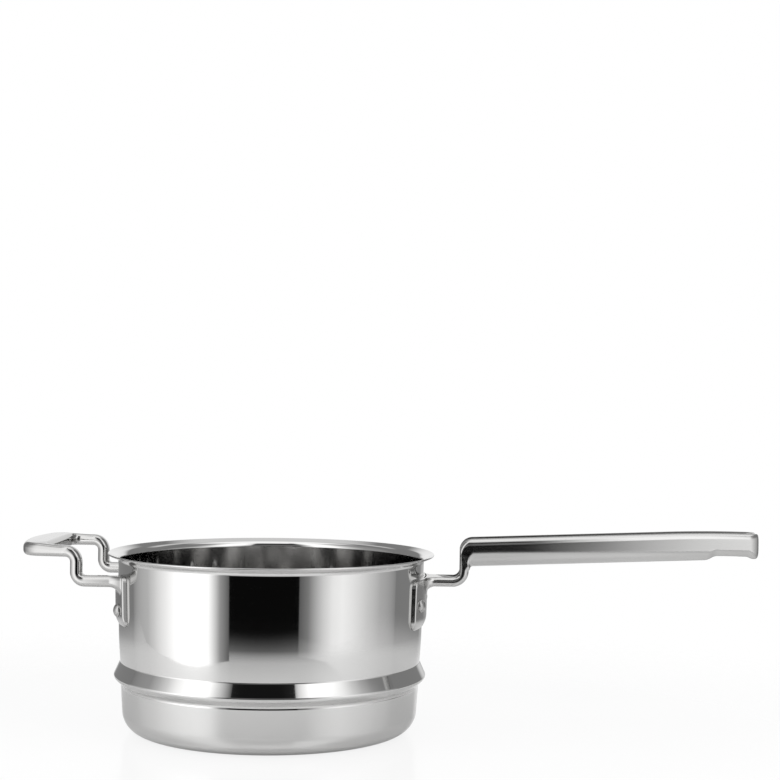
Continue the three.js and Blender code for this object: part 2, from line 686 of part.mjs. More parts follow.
function helperLoop() {
  const far = [...farLegRings(), ...farGripRings()];
  const mirrorRing = (ring) => ring.map((p) => vector(p.x, -p.y, p.z));
  const near = far.slice(0, -1).reverse().map(mirrorRing);
  const pad = (middle) => wallPlate(-1, middle, PAD_WIDTH, PAD_HEIGHT, PAD_CORNER, loopTop);
  const bar = solidOf(loft([...far, ...near])).subtract(wallCore());
  return bar.add(pad(legMiddle)).add(pad(-legMiddle));
}

// Assembly

const rivetHoles = rivets.map(rivetHole);
const drill = (solid) => rivetHoles.reduce((left, hole) => left.subtract(hole), solid);
const bowl = steamHoles().reduce((left, hole) => left.subtract(hole), bowlSheet());

const steamerInsert = new THREE.Group();
steamerInsert.add(meshOf("steamer_bowl", drill(bowl), steel("polished_steel", 0.12)));
steamerInsert.add(meshOf("long_handle", drill(longHandle()), steel("handle_steel", 0.2)));
steamerInsert.add(meshOf("helper_loop", drill(helperLoop()), steel("handle_steel", 0.2)));
for (const rivet of rivets) {
  steamerInsert.add(meshOf(rivet.name, rivetSolid(rivet), steel("rivet_steel", 0.3)));
}

export default steamerInsert;
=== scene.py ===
import math

import bmesh
import bpy
import numpy as np
from mathutils import Matrix

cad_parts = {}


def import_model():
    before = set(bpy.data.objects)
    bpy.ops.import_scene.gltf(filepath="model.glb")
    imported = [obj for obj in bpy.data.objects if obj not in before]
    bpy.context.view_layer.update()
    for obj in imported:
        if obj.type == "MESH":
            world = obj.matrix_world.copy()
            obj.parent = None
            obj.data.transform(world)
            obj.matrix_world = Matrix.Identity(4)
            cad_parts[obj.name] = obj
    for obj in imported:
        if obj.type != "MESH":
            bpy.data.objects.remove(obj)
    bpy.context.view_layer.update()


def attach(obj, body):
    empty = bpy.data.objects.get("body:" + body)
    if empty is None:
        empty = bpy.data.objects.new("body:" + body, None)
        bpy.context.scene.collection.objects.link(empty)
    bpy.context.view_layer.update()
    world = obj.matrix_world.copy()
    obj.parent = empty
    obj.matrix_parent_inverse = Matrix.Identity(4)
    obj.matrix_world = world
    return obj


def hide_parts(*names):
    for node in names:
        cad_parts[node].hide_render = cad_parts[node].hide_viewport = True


MM = 0.001

# Bowl: one sheet, all radii to the outside face
SHEET = 1.2
BOWL_HEIGHT = 120
BASE_RADIUS = 98.3
BASE_CORNER = 14.5
SKIRT_FLARE = 2
BEAD_HEIGHT = 37.8
BEAD_REACH = 5.2
BEAD_FALL = 5.3
BEAD_RUN = 9.7
BEAD_CREST = 2.2
BEAD_FILLET = 1.8
NECK_HEIGHT = 1.7  # a slight neck under the bead
NECK_DEPTH = 0.2
NECK_ROUND = 5
WAIST_STEP = 0.7  # upper wall out past the lower wall
SHOULDER_RISE = 16.5  # up to where the upper wall's taper eases
SHOULDER_FLARE = 1
SHOULDER_FILLET = 200
MOUTH_FLARE = 1.2  # spread of the upper wall from there to the lip
LIP_REACH = 7
LIP_SLOPE = math.radians(22)
LIP_FILLET = 3

# Steam holes in the base, in rings round a solid centre
HOLE_DIAMETER = 5.5
HOLE_RINGS = 5
HOLE_MARGIN = 11.3  # start of the base's fillet in to the outer ring
HOLES_PER_RING_STEP = 6
HOLE_CHAMFER = 0.25

# Fits
PLATE_CLEARANCE = 0.15
RIVET_CLEARANCE = 0.2
RIVET_SEAT = 0.05

# Handle plates, curved to the bowl's wall
PLATE_THICKNESS = 2.8
PLATE_FOOT = 0.6  # thickness left at the lower edge
PLATE_FOOT_HEIGHT = 7.5
PLATE_EDGE = 0.8
ROOT_FILLET = 5
ROOT_DEPTH = 1.6  # how far an arm starts inside its plate

# Long handle: a bent arm that opens into a channel grip with a rounded belly
HANDLE_PLATE_WIDTH = 71
HANDLE_PLATE_HEIGHT = 33.5
HANDLE_PLATE_CORNER = 6
HANDLE_RIVET_INSET = 9
HANDLE_RIVET_DROP = 17.2
ARM_DROP = 14.4
ARM_WIDTH = 24
ARM_THICKNESS = 6.2
ARM_EDGE = 3
ARM_HOLLOW = 2
ARM_REACH = 24.3
ARM_BEND = 4.5
RISER_LEAN = 0.9  # how far the riser thickens up to the belly
BELLY_RISE = 7.2
BELLY_FILLET = 1.3
GRIP_BEND = 9
GRIP_LENGTH = 199.1
GRIP_TILT = math.radians(2.5)
GRIP_WIDTH = 25
GRIP_DEPTH = 18.9
TOP_FALL = 2  # fall of the rims below a straight line at the tip
TOP_FALL_LENGTH = 60
GRIP_HOLLOW = 5
CHANNEL_RUN_IN = 17
CHANNEL_END = 2  # depth of the channel where the tip begins
CHANNEL_LIP = 0.5
CHANNEL_WALL = math.tan(math.radians(83))
CHANNEL_SQUARENESS = 14  # highest power of the channel's curve
RIM_WIDTH = 4.5
RIM_DEPTH = 5
BELLY_START = 2.6
BELLY_ROUND_WIDTH = 10.5
BELLY_ROUND_DEPTH = 11
BELLY_END_ROUND_DEPTH = 8.2
HOLE_END_DEPTH = 15.8  # depth of the thinner grip round the hanging hole
HOLE_END_ROUND_DEPTH = 5.8
HOLE_END_LENGTH = 35.5
BELLY_STEP = 8.5
TIP_LENGTH = 8
TIP_CORNER = 6.5
TIP_ROUND = 2
TIP_LOBE = 1.4
TIP_LOBE_LENGTH = 5
HANG_HOLE_LENGTH = 21.5
HANG_HOLE_WIDTH = 10.5
HANG_HOLE_TO_TIP = 10.2  # solid left past the hole
HANG_HOLE_FLAT = 0.001  # keeps the points of its round ends apart

# Helper loop: one bar that steps up from two pads to a broad flat grip
PAD_WIDTH = 18
PAD_HEIGHT = 33
PAD_CORNER = 4
LOOP_RIVET_DROP = 22.7
LOOP_WIDTH = 96
LEG_WIDTH = 10
LOOP_DROP = 13.4
LOOP_THICKNESS = 7.4
LOOP_EDGE = 3.5
LOOP_REACH = 21.2
LOOP_RISE = 19.4
LOOP_LOW_BEND = 6
LOOP_HIGH_BEND = 7
LOOP_LEVEL = 1.2
LOOP_OPENING = 12
LOOP_OPENING_CORNER = 5
LOOP_GRIP_DEPTH = 17.2
LOOP_GRIP_TAPER = 4  # how far each side comes in outwards
LOOP_GRIP_CORNER = 9
LOOP_GRIP_BULGE = 4.4
LOOP_GRIP_RISE = 1.4  # how far the grip thickens outwards

# Rivets: solid, with a domed outer head and a low inner one
RIVET_DIAMETER = 6
RIVET_DOME_DIAMETER = 8.8
RIVET_DOME_HEIGHT = 3
RIVET_HEAD_DIAMETER = 10.5
RIVET_HEAD_THICKNESS = 1.8
RIVET_HEAD_EDGE = 0.6

# Fineness of the meshes
BOWL_SIDES = 288
HOLE_SIDES = 28
RIVET_SIDES = 48
ARC_STEP = math.radians(4)
PLATE_ACROSS = 32
PLATE_UPRIGHT = 24
HANG_HOLE_ACROSS = 8
HANG_HOLE_UPRIGHT = 2
HOLLOW_POINTS = 14
EDGE_POINTS = 10
RIM_POINTS = 18
BELLY_POINTS = 14
ROOT_RINGS = 10
ROOT_CROWDING = 1.6  # above 1, the rings of a root crowd towards its plate
GRIP_RINGS = 64
ARM_STEPS = 6
LOW_BEND_STEPS = 18
RISER_STEPS = 8
HIGH_BEND_STEPS = 22
RUN_IN_STEPS = 12
CHANNEL_STEPS = 30
BELLY_STEP_STEPS = 8
HOLE_END_STEPS = 12
TIP_RINGS = 28
PLATE_RINGS = 14
SLOPE_TRIES = 30
CREASE = math.radians(34)  # edges that turn more than this stay sharp

# Finishes: tones of the steel, its roughness, and the scale and the depth in mm of its polishing grain. The
# loop's and the rivets' darker tones are partly painted shade
BOWL_FINISH = {
    "tones": ((0.68, 0.68, 0.675), (0.62, 0.615, 0.61)),
    "roughness": (0.03, 0.07),
    "grain_scale": 2600,
    "grain_depth": 0.0004,
}
HANDLE_FINISH = {
    "tones": ((0.57, 0.57, 0.565), (0.51, 0.505, 0.5)),
    "roughness": (0.13, 0.22),
    "grain_scale": 350,
    "grain_depth": 0.0012,
}
# The loop's steel is the handle's with less roughness, and with darker tones that paint shade over the loop
LOOP_FINISH_AND_SHADE = {
    **HANDLE_FINISH,
    "tones": ((0.5, 0.5, 0.495), (0.44, 0.435, 0.43)),
    "roughness": (0.07, 0.13),
}
# The rivets' steel is satin, with dark tones that are partly painted shade
RIVET_FINISH_AND_SHADE = {
    "tones": ((0.5, 0.5, 0.495), (0.4, 0.395, 0.39)),
    "roughness": (0.26, 0.38),
    "grain_scale": 1400,
    "grain_depth": 0.003,
}
GRAIN_DETAIL = 4
GRAIN_RANGE = 0.3, 0.7  # values of the grain between which the roughness changes
STREAK_STRETCH = 0.02
CLOUD_SCALE = 22
CLOUD_DETAIL = 3
INSIDE_ROUGHNESS = 0.01
INSIDE_BRUSHING = 0.6
INSIDE_TURN = 0.25  # of a full turn
INSIDE_EDGE = 0.004, 0.02  # the normal times the place, in metres, below which a face is inside
# Painted shade: a dark tone for the walls inside the handle's channel, which are also made rougher
CHANNEL_SHADE_TONE = (0.12, 0.12, 0.118)
CHANNEL_ROUGHNESS = 0.15
CHANNEL_EDGE = -0.006, -0.003  # the same across the handle, for the walls of its channel

# Studio, in metres: where the camera stood, and the light round the object
CAMERA_PLACE = (0.1292, -1.1562, 0.2308)
CAMERA_TURN = math.radians(2.5)
CAMERA_ROLL = 0.0131
CAMERA_LENS = 78.9
TABLE_RADIUS = 0.52
TABLE_STRETCH = 1.25  # its length along X to its width
TABLE_SIDES = 128
TABLE_RINGS = 6
TABLE_FADE = 0.21  # where its rim starts to fade out
TABLE_GAP = 0.0002
TABLE_TONE = 0.92
TABLE_ROUGHNESS = 0.14
TABLE_IOR = 2
TABLE_GLOSS = 0.75
TABLE_WHITE = 0.85  # share of plain white to the camera
# Painted light on the table as the steel sees it: a white that grows with distance from the bowl, so the
# table looks shaded near the bowl
TABLE_SHADE = 0.12, 0.3  # between these distances it gets whiter in the steel
TABLE_PAINTED_LIGHT_MIRRORED = 0.15, 0.6  # share of plain white in the steel, near and far
PANEL_BOTTOM = -0.03
PANEL_FALL = 0.4  # drop of its foot towards its outer end
PANEL_TOP = 1.1
PANEL_STRIPS = 24
LAMP_PLACE = (0.05, -0.4, 0.4)
LAMP_LENGTH = 1
LAMP_WIDTH = 0.15
LAMP_POWER = 1
# Each panel's two ends in the floor plan, the heights between which its low light gives way to its high one,
# and its brightness low and high up at shares of the way between its ends
LEFT_PANEL = (-0.11, -0.309), (-0.85, 0.35)
LEFT_CHANGE = 0.11, 0.17
LEFT_LOW_GLOW = [
    (0, 0.14), (0.034, 0.42), (0.078, 1.6), (0.122, 1.9), (0.2, 1.65),
    (0.26, 1.3), (0.355, 0.88), (0.43, 0.66), (1, 0.3),
]
LEFT_HIGH_GLOW = [
    (0, 0.12), (0.057, 1.05), (0.09, 1.7), (0.18, 1.6), (0.22, 1.35),
    (0.27, 0.92), (0.33, 0.64), (0.41, 0.42), (1, 0.25),
]
RIGHT_PANEL = (0.205, -0.45), (0.95, 0.3)
RIGHT_CHANGE = 0.25, 0.33
RIGHT_LOW_GLOW = [
    (0, 0.14), (0.05, 0.28), (0.13, 0.9), (0.18, 1.2), (0.235, 1.3),
    (0.3, 1.17), (0.42, 0.87), (0.57, 0.6), (1, 0.33),
]
RIGHT_HIGH_GLOW = [
    (0, 0.5), (0.02, 1), (0.09, 1.7), (0.2, 1.75), (0.275, 1.35),
    (0.344, 0.78), (0.42, 0.45), (0.52, 0.31), (1, 0.24),
]
# The room that the steel mirrors. Its lights come up between two values of a ray's direction, AHEAD along
# +Y, away from the camera, or UP along +Z
BACKDROP_AHEAD = 0.85, 0.97
BACKDROP_UP = -0.25, 0.12
BACKDROP_LOW = 0.3
SIDES_AHEAD = -0.8, -0.2
SIDES_LIGHT = 0.004, 0.27
FRONT_UP = 0.12, 0.25
FRONT_END_UP = 0.48, 0.62
FRONT_LIGHT = 0.2
FRONT_END_SHARE = 0.05
CEILING_UP = 0.77, 0.95
CEILING_LIGHT = 1.4
HIGH_BEHIND_AHEAD = 0.4, 0.6
HIGH_BEHIND_UP = 0.5, 0.7
HIGH_BEHIND_LIGHT = 0.85


# Outlines


def direction(a, b):
    """The unit vector from one point of an outline to another."""
    step = np.subtract(b[:2], a[:2])
    return step / np.linalg.norm(step)


def turn_between(u, v):
    """The signed turn from one direction to the next, anticlockwise positive."""
    return math.atan2(u[0] * v[1] - u[1] * v[0], u[0] * v[0] + u[1] * v[1])


def round_corners(corners):
    """The line through corners of (x, y, fillet), with points on an arc for each fillet."""
    points = []
    for i, (x, y, fillet) in enumerate(corners):
        if not fillet or i in (0, len(corners) - 1):
            points.append(np.array((x, y), float))
            continue
        u = direction(corners[i - 1], corners[i])
        v = direction(corners[i], corners[i + 1])
        turn = turn_between(u, v)
        start = np.array((x, y)) - u * fillet * math.tan(abs(turn) / 2)
        centre = start + math.copysign(fillet, turn) * np.array((-u[1], u[0]))
        first = math.atan2(start[1] - centre[1], start[0] - centre[0])
        steps = max(2, round(abs(turn) / ARC_STEP))
        for angle in np.linspace(first, first + turn, steps + 1):
            points.append(centre + fillet * np.array((math.cos(angle), math.sin(angle))))
    return points


def offset_corners(corners, distance):
    """The same corners moved to the left of travel, with their fillets to match."""
    ways = [direction(a, b) for a, b in zip(corners, corners[1:])]
    moved = []
    for i, (x, y, fillet) in enumerate(corners):
        u = ways[max(i - 1, 0)]
        v = ways[min(i, len(ways) - 1)]
        turn = turn_between(u, v)
        slide = distance * math.tan(turn / 2)
        radius = fillet and fillet - math.copysign(distance, turn)
        moved.append((x - u[1] * distance - u[0] * slide, y + u[0] * distance - u[1] * slide, radius))
    return moved


def straight(a, b):
    """A line from a to b, given by the share of the way."""
    return lambda share: np.array(a) + share * np.subtract(b, a)


def bent(a, control, b):
    """A quadratic curve from a to b that leaves towards the control point."""

    def at(share):
        left = 1 - share
        return left**2 * np.array(a) + 2 * left * share * np.array(control) + share**2 * np.array(b)

    return at


def arc(centre, radius, start, end):
    """An arc between two angles in degrees."""

    def at(share):
        angle = math.radians(start + share * (end - start))
        return np.array(centre) + radius * np.array((math.cos(angle), math.sin(angle)))

    return at


def even_points(line, count):
    """Points at equal distances along a polyline, the first left out."""
    line = np.array(line)
    run = np.r_[0, np.cumsum(np.linalg.norm(np.diff(line, axis=0), axis=1))]
    at = np.linspace(0, run[-1], count + 1)[1:]
    return np.stack([np.interp(at, run, line[:, k]) for k in range(2)], 1)


# Meshes


def skin(ring_count, size):
    """Faces between neighbouring rings of equal size, numbered one ring after the other."""
    faces = []
    for start in range(0, (ring_count - 1) * size, size):
        for j in range(size):
            k = (j + 1) % size
            faces.append((start + j, start + k, start + size + k, start + size + j))
    return faces


def fan(first, size, pole):
    """Faces from the ring that starts at a point to a pole."""
    return [(first + j, first + (j + 1) % size, pole) for j in range(size)]


def loft(rings, start_pole=None, end_pole=None):
    """Points and faces of a closed skin over rings, each end drawn to a pole or to the ring's middle."""
    rings = [np.asarray(ring) for ring in rings]
    size = len(rings[0])
    last = (len(rings) - 1) * size
    poles = [
        rings[0].mean(0) if start_pole is None else start_pole,
        rings[-1].mean(0) if end_pole is None else end_pole,
    ]
    points = np.concatenate([*rings, poles])
    faces = skin(len(rings), size) + fan(0, size, last + size) + fan(last, size, last + size + 1)
    return points, faces


def revolve(profile, sides):
    """Points and faces of a line of (radius, height) points, from axis to axis, turned about Z."""
    turns = np.linspace(0, 2 * math.pi, sides, endpoint=False)
    around = np.stack((np.cos(turns), np.sin(turns)), 1)
    rings = [np.c_[around * radius, np.full(sides, height)] for radius, height in profile[1:-1]]
    return loft(rings, (0, 0, profile[0][1]), (0, 0, profile[-1][1]))


def new_object(name, points, faces):
    """An object of points in millimetres, with its faces turned outwards."""
    mesh = bpy.data.meshes.new(name)
    mesh.from_pydata((np.asarray(points) * MM).tolist(), [], faces)
    edit = bmesh.new()
    edit.from_mesh(mesh)
    bmesh.ops.recalc_face_normals(edit, faces=edit.faces)
    edit.to_mesh(mesh)
    edit.free()
    made = bpy.data.objects.new(name, mesh)
    bpy.context.scene.collection.objects.link(made)
    return made


def joined(name, shapes):
    """One object of several separate shapes, each a pair of points and faces."""
    points, faces = [], []
    for some_points, some_faces in shapes:
        faces += [tuple(i + len(points) for i in face) for face in some_faces]
        points += list(some_points)
    return new_object(name, points, faces)


def settle(piece):
    """Makes the result of a piece's modifiers its own mesh."""
    graph = bpy.context.evaluated_depsgraph_get()
    mesh = bpy.data.meshes.new_from_object(piece.evaluated_get(graph))
    piece.modifiers.clear()
    old = piece.data
    piece.data = mesh
    bpy.data.meshes.remove(old)


def combine(piece, operation, *others):
    """Adds the others to a piece (UNION) or takes them away from it (DIFFERENCE), and removes them."""
    for other in others:
        modifier = piece.modifiers.new("combine", "BOOLEAN")
        modifier.operation = operation
        modifier.solver = "EXACT"
        modifier.object = other
    settle(piece)
    for other in others:
        bpy.data.objects.remove(other)


def smooth(piece):
    """Smooth shading that keeps flat faces flat and real edges sharp."""
    piece.data.shade_smooth()
    piece.data.set_sharp_from_angle(angle=CREASE)
    normals = piece.modifiers.new("normals", "WEIGHTED_NORMAL")
    normals.keep_sharp = True
    settle(piece)


# Bowl

lip_edge = BOWL_HEIGHT - SHEET * math.cos(LIP_SLOPE)
mouth_height = lip_edge - LIP_REACH * math.tan(LIP_SLOPE)
bead_bottom = BEAD_HEIGHT - BEAD_FALL
bead_top = BEAD_HEIGHT + BEAD_RUN
shoulder_height = bead_top + SHOULDER_RISE
skirt_radius = BASE_RADIUS + SKIRT_FLARE
waist_radius = skirt_radius + WAIST_STEP
shoulder_radius = waist_radius + SHOULDER_FLARE
mouth_radius = shoulder_radius + MOUTH_FLARE
outer_hole_ring = BASE_RADIUS - BASE_CORNER - HOLE_MARGIN


def wall_radius(height):
    """Outside radius of the upper wall, where the handles are fixed."""
    share = (height - shoulder_height) / (mouth_height - shoulder_height)
    return shoulder_radius + share * MOUTH_FLARE


def bowl_profile():
    """The sheet's section: its outside from the base to the lip, the round edge, and its inside back."""
    lip_way = np.array((math.cos(LIP_SLOPE), math.sin(LIP_SLOPE)))
    lip_end = np.array((mouth_radius + LIP_REACH, lip_edge)) - lip_way * SHEET / 2
    flat_end = outer_hole_ring + HOLE_DIAMETER
    outside = [
        (0, 0, 0),
        (flat_end, 0, 0),
        (BASE_RADIUS, 0, BASE_CORNER),
        (skirt_radius, bead_bottom - NECK_HEIGHT, NECK_ROUND),
        (skirt_radius - NECK_DEPTH, bead_bottom, BEAD_FILLET),
        (skirt_radius + BEAD_REACH, BEAD_HEIGHT, BEAD_CREST),
        (waist_radius, bead_top, BEAD_FILLET),
        (shoulder_radius, shoulder_height, SHOULDER_FILLET),
        (mouth_radius, mouth_height, LIP_FILLET),
        (*lip_end, 0),
    ]
    inside = offset_corners(outside, SHEET)
    edge_middle = (lip_end + np.array(inside[-1][:2])) / 2
    across = lip_end - edge_middle
    edge = [
        edge_middle + math.cos(angle) * across + math.sin(angle) * lip_way * SHEET / 2
        for angle in np.linspace(0, math.pi, EDGE_POINTS)[1:-1]
    ]
    return [*round_corners(outside), *edge, *reversed(round_corners(inside))]


def steam_punches():
    """What the steam holes take out of the base, each with a chamfer at both ends."""
    radius = HOLE_DIAMETER / 2
    profile = [
        (0, -HOLE_CHAMFER),
        (radius + 2 * HOLE_CHAMFER, -HOLE_CHAMFER),
        (radius, HOLE_CHAMFER),
        (radius, SHEET - HOLE_CHAMFER),
        (radius + 2 * HOLE_CHAMFER, SHEET + HOLE_CHAMFER),
        (0, SHEET + HOLE_CHAMFER),
    ]
    points, faces = revolve(profile, HOLE_SIDES)
    punches = []
    for ring in range(1, HOLE_RINGS + 1):
        out = outer_hole_ring * ring / HOLE_RINGS
        count = ring * HOLES_PER_RING_STEP
        for angle in np.linspace(0, 2 * math.pi, count, endpoint=False):
            place = (out * math.cos(angle), out * math.sin(angle), 0)
            punches.append((points + place, faces))
    return joined("steam_punches", punches)


def steamer_bowl():
    piece = new_object("steamer_bowl_piece", *revolve(bowl_profile(), BOWL_SIDES))
    combine(piece, "DIFFERENCE", steam_punches(), rivet_drills())
    smooth(piece)
    return piece


# Rivets

arm_top = BOWL_HEIGHT - ARM_DROP
loop_top = BOWL_HEIGHT - LOOP_DROP
handle_rivet_height = arm_top - HANDLE_RIVET_DROP
loop_rivet_height = loop_top - LOOP_RIVET_DROP
leg_middle = (LOOP_WIDTH - LEG_WIDTH) / 2


def plate_face(height):
    """Radius of a plate's outer face above its foot."""
    return wall_radius(height) + PLATE_CLEARANCE + PLATE_THICKNESS


handle_rivet_side = HANDLE_PLATE_WIDTH / 2 - HANDLE_RIVET_INSET
handle_rivet_angle = math.asin(handle_rivet_side / plate_face(handle_rivet_height))
loop_rivet_angle = math.asin(leg_middle / plate_face(loop_rivet_height))

# Each rivet's angle round the bowl and its height
RIVETS = {
    "handle_rivet_near": (-handle_rivet_angle, handle_rivet_height),
    "handle_rivet_far": (handle_rivet_angle, handle_rivet_height),
    "loop_rivet_near": (math.pi + loop_rivet_angle, loop_rivet_height),
    "loop_rivet_far": (math.pi - loop_rivet_angle, loop_rivet_height),
}


def on_axis(shape, angle, height):
    """Lays a shape that was turned about Z along a rivet's axis, pointing out from the bowl."""
    points, faces = shape
    lay = Matrix.Rotation(angle, 3, "Z") @ Matrix.Rotation(math.pi / 2, 3, "Y")
    return points @ np.array(lay).T + (0, 0, height), faces


def rivet(name):
    angle, height = RIVETS[name]
    shank = RIVET_DIAMETER / 2
    dome = RIVET_DOME_DIAMETER / 2
    head = RIVET_HEAD_DIAMETER / 2
    inner = wall_radius(height) - SHEET - RIVET_SEAT
    outer = plate_face(height) + RIVET_SEAT
    crown = [
        (dome * math.cos(turn), outer + RIVET_DOME_HEIGHT * math.sin(turn))
        for turn in np.linspace(0, math.pi / 2, BELLY_POINTS)[:-1]
    ]
    low_head = [
        (head * math.sin(turn), inner - RIVET_HEAD_EDGE - low_rise(turn))
        for turn in np.linspace(0, math.pi / 2, BELLY_POINTS)[1:]
    ]
    profile = [
        (0, inner - RIVET_HEAD_THICKNESS),
        *low_head,
        (head, inner),
        (shank, inner),
        (shank, outer),
        *crown,
        (0, outer + RIVET_DOME_HEIGHT),
    ]
    piece = new_object(name + "_piece", *on_axis(revolve(profile, RIVET_SIDES), angle, height))
    smooth(piece)
    return piece


def low_rise(turn):
    """How far the inner head stands in from its rim, at a turn from its middle."""
    return (RIVET_HEAD_THICKNESS - RIVET_HEAD_EDGE) * math.cos(turn)


def rivet_drills():
    """What the rivet holes take out of the bowl, the handle and the loop."""
    radius = RIVET_DIAMETER / 2 + RIVET_CLEARANCE
    drills = []
    for angle, height in RIVETS.values():
        inner = wall_radius(height) - 4 * SHEET
        outer = plate_face(height) + RIVET_DOME_HEIGHT + ROOT_FILLET
        profile = [(0, inner), (radius, inner), (radius, outer), (0, outer)]
        drills.append(on_axis(revolve(profile, RIVET_SIDES), angle, height))
    return joined("rivet_drills", drills)


# Handle plates


def plate_thickness(height, bottom):
    """Thickness of a plate at a height: full above its foot, and thinned towards its lower edge."""
    share = min(max((height - bottom) / PLATE_FOOT_HEIGHT, 0), 1)
    return PLATE_FOOT + (PLATE_THICKNESS - PLATE_FOOT) * math.sin(share * math.pi / 2)


def plate_outline(half_width, half_height, corner, across, upright):
    """A rounded rectangle from the middle of its right side, anticlockwise, with set counts of points."""
    corner_turn = np.linspace(0, math.pi / 2, EDGE_POINTS)
    points = []
    flat_x, flat_y = half_width - corner, half_height - corner
    for quarter in range(4):
        side_count = upright if quarter % 2 == 0 else across
        run_x, run_y = (flat_x, flat_y) if quarter % 2 == 0 else (flat_y, flat_x)
        spin = np.array(Matrix.Rotation(quarter * math.pi / 2, 2))
        side = [(run_x + corner, run_y * share) for share in np.linspace(-1, 1, side_count + 1)]
        turn = [
            (run_x + corner * math.cos(a), run_y + corner * math.sin(a)) for a in corner_turn[1:-1]
        ]
        points += [spin @ np.array(point) for point in side + turn]
    start = upright // 2
    return np.array(points[start:] + points[:start])


def wall_plate(name, side, middle, width, height, corner, top):
    """A plate that hugs the wall: rings of its outline, from inside its face round its edge to its back."""
    bottom = top - height
    half_width, half_height = width / 2, height / 2
    deepest = min(half_width, half_height) - PLATE_EDGE / 2
    turn = np.linspace(0, math.pi / 2, EDGE_POINTS)
    face = [(inset, 0) for inset in np.linspace(deepest, PLATE_EDGE, PLATE_RINGS)[:-1]]
    edge = [(PLATE_EDGE * (1 - math.sin(a)), PLATE_EDGE * (1 - math.cos(a))) for a in turn]
    back = [(inset, None) for inset in np.linspace(0, deepest, PLATE_RINGS)]
    rings = []
    for inset, sunk in [*face, *edge, *back]:
        inner_corner = max(corner - inset, PLATE_EDGE / 4)
        sides = half_width - inset, half_height - inset
        outline = plate_outline(*sides, inner_corner, PLATE_ACROSS, PLATE_UPRIGHT)
        ring = []
        for y, z in outline + (middle, top - half_height):
            depth = 0 if sunk is None else plate_thickness(z, bottom) - sunk
            radius = wall_radius(z) + PLATE_CLEARANCE + depth
            ring.append((side * math.sqrt(radius**2 - y**2), y, z))
        rings.append(ring)
    size = len(rings[0])
    last = (len(rings) - 1) * size
    first = 0 if half_width > half_height else size // 4
    faces = skin(len(rings), size) + ladder(0, size, first) + ladder(last, size, first)
    return new_object(name, np.concatenate(rings), faces)


def ladder(start, size, first):
    """Faces across a narrow ring, between points that mirror each other about the point called first."""
    faces = []
    for k in range(size // 2):
        corners = [first + k, first + k + 1, first - k - 1, first - k]
        faces.append(tuple(dict.fromkeys(start + c % size for c in corners)))
    return faces


def fillet_at(share):
    """How far a root fillet stands out from its arm, at a share of the way from the plate."""
    left = 1 - min(max(share, 0), 1)
    return ROOT_FILLET * (1 - math.sqrt(1 - left**2))


def root_ring(ring, share, side, end):
    """Moves a ring's points along X, from the plate's face at share 0, or under it below 0, to the end."""
    placed = []
    for _, y, z in ring:
        face = math.sqrt((plate_face(z) - (ROOT_DEPTH if share < 0 else 0)) ** 2 - y**2)
        placed.append((side * (face + max(share, 0) * (end - face)), y, z))
    return placed


# Places of a root's rings, the first of them inside its plate
ROOT_SHARES = [-1, *np.linspace(0, 1, ROOT_RINGS) ** ROOT_CROWDING]


# Long handle


def hollow_power(hollow, lip):
    """How square a channel is, so that its walls reach their slope at the lips."""
    return min(CHANNEL_WALL * lip / max(hollow, CHANNEL_LIP), CHANNEL_SQUARENESS)


def hollow_slope(hollow, lip):
    """The angle at which a channel's hollow runs into the rounding of its lip."""
    angle = 0.0
    for _ in range(SLOPE_TRIES):
        rise = hollow - CHANNEL_LIP * (1 - math.cos(angle))
        angle = math.atan(hollow_power(hollow, lip) * rise / (lip - CHANNEL_LIP * math.sin(angle)))
    return angle


def channel_half(width, depth, hollow, rim_width, rim_depth, round_width, round_depth):
    """Half of a channel section, from the middle of its hollow to the middle of its belly, as (y, depth)."""
    half = width / 2
    lip = half - rim_width
    power = hollow_power(hollow, lip)
    slope = hollow_slope(hollow, lip)
    reach = lip - CHANNEL_LIP * math.sin(slope)
    crest = CHANNEL_LIP * (1 - math.cos(slope))
    points = []
    for turn in np.linspace(0, math.pi / 2, HOLLOW_POINTS)[:-1]:
        share = math.sin(turn)
        points.append((reach * share, crest + (hollow - crest) * (1 - share**power)))
    for angle in np.linspace(-slope, math.pi / 2, RIM_POINTS):
        across, down = (CHANNEL_LIP, CHANNEL_LIP) if angle < 0 else (rim_width, rim_depth)
        points.append((lip + across * math.sin(angle), down * (1 - math.cos(angle))))
    for angle in np.linspace(0, math.pi / 2, BELLY_POINTS):
        inward = round_width * (1 - math.cos(angle))
        points.append((half - inward, depth - round_depth * (1 - math.sin(angle))))
    points.append((0, depth))
    return points


def channel_ring(top, under, section):
    """A ring of a channel section whose depth runs from a point of the top face to one of the underside."""
    depth = np.linalg.norm(np.subtract(under, top))
    down = np.subtract(under, top) / depth
    half = channel_half(depth=depth, **section)
    mirrored = [(-y, d) for y, d in reversed(half[1:-1])]
    return [(top[0] + down[0] * d, y, top[1] + down[1] * d) for y, d in half + mirrored]


def mix(a, b, share):
    """The section at a share of the way between two sections."""
    return {key: a[key] + share * (b[key] - a[key]) for key in a}


riser = wall_radius(arm_top) + ARM_REACH
riser_outer = riser + ARM_THICKNESS
belly_start = riser_outer + BELLY_START
tip = riser + GRIP_LENGTH


def rim_line(x):
    """Height of the grip's straight rims, before they fall towards the tip."""
    return arm_top + BELLY_RISE + GRIP_DEPTH + (x - belly_start) * math.tan(GRIP_TILT)


def top_at(x):
    """Height of the grip's rims."""
    past = max(x - tip + TOP_FALL_LENGTH, 0) / TOP_FALL_LENGTH
    return rim_line(x) - TOP_FALL * past**2


def top_point(x):
    return (x, top_at(x))


def belly_point(x):
    return (x, rim_line(x) - GRIP_DEPTH)


def thin_point(x):
    """A point of the underside past the step."""
    return (x, top_at(x) - HOLE_END_DEPTH)


def along_x(point, start, end):
    """A line of the handle given by its point at any x, between two values of x."""
    return lambda share: np.array(point(start + share * (end - start)))


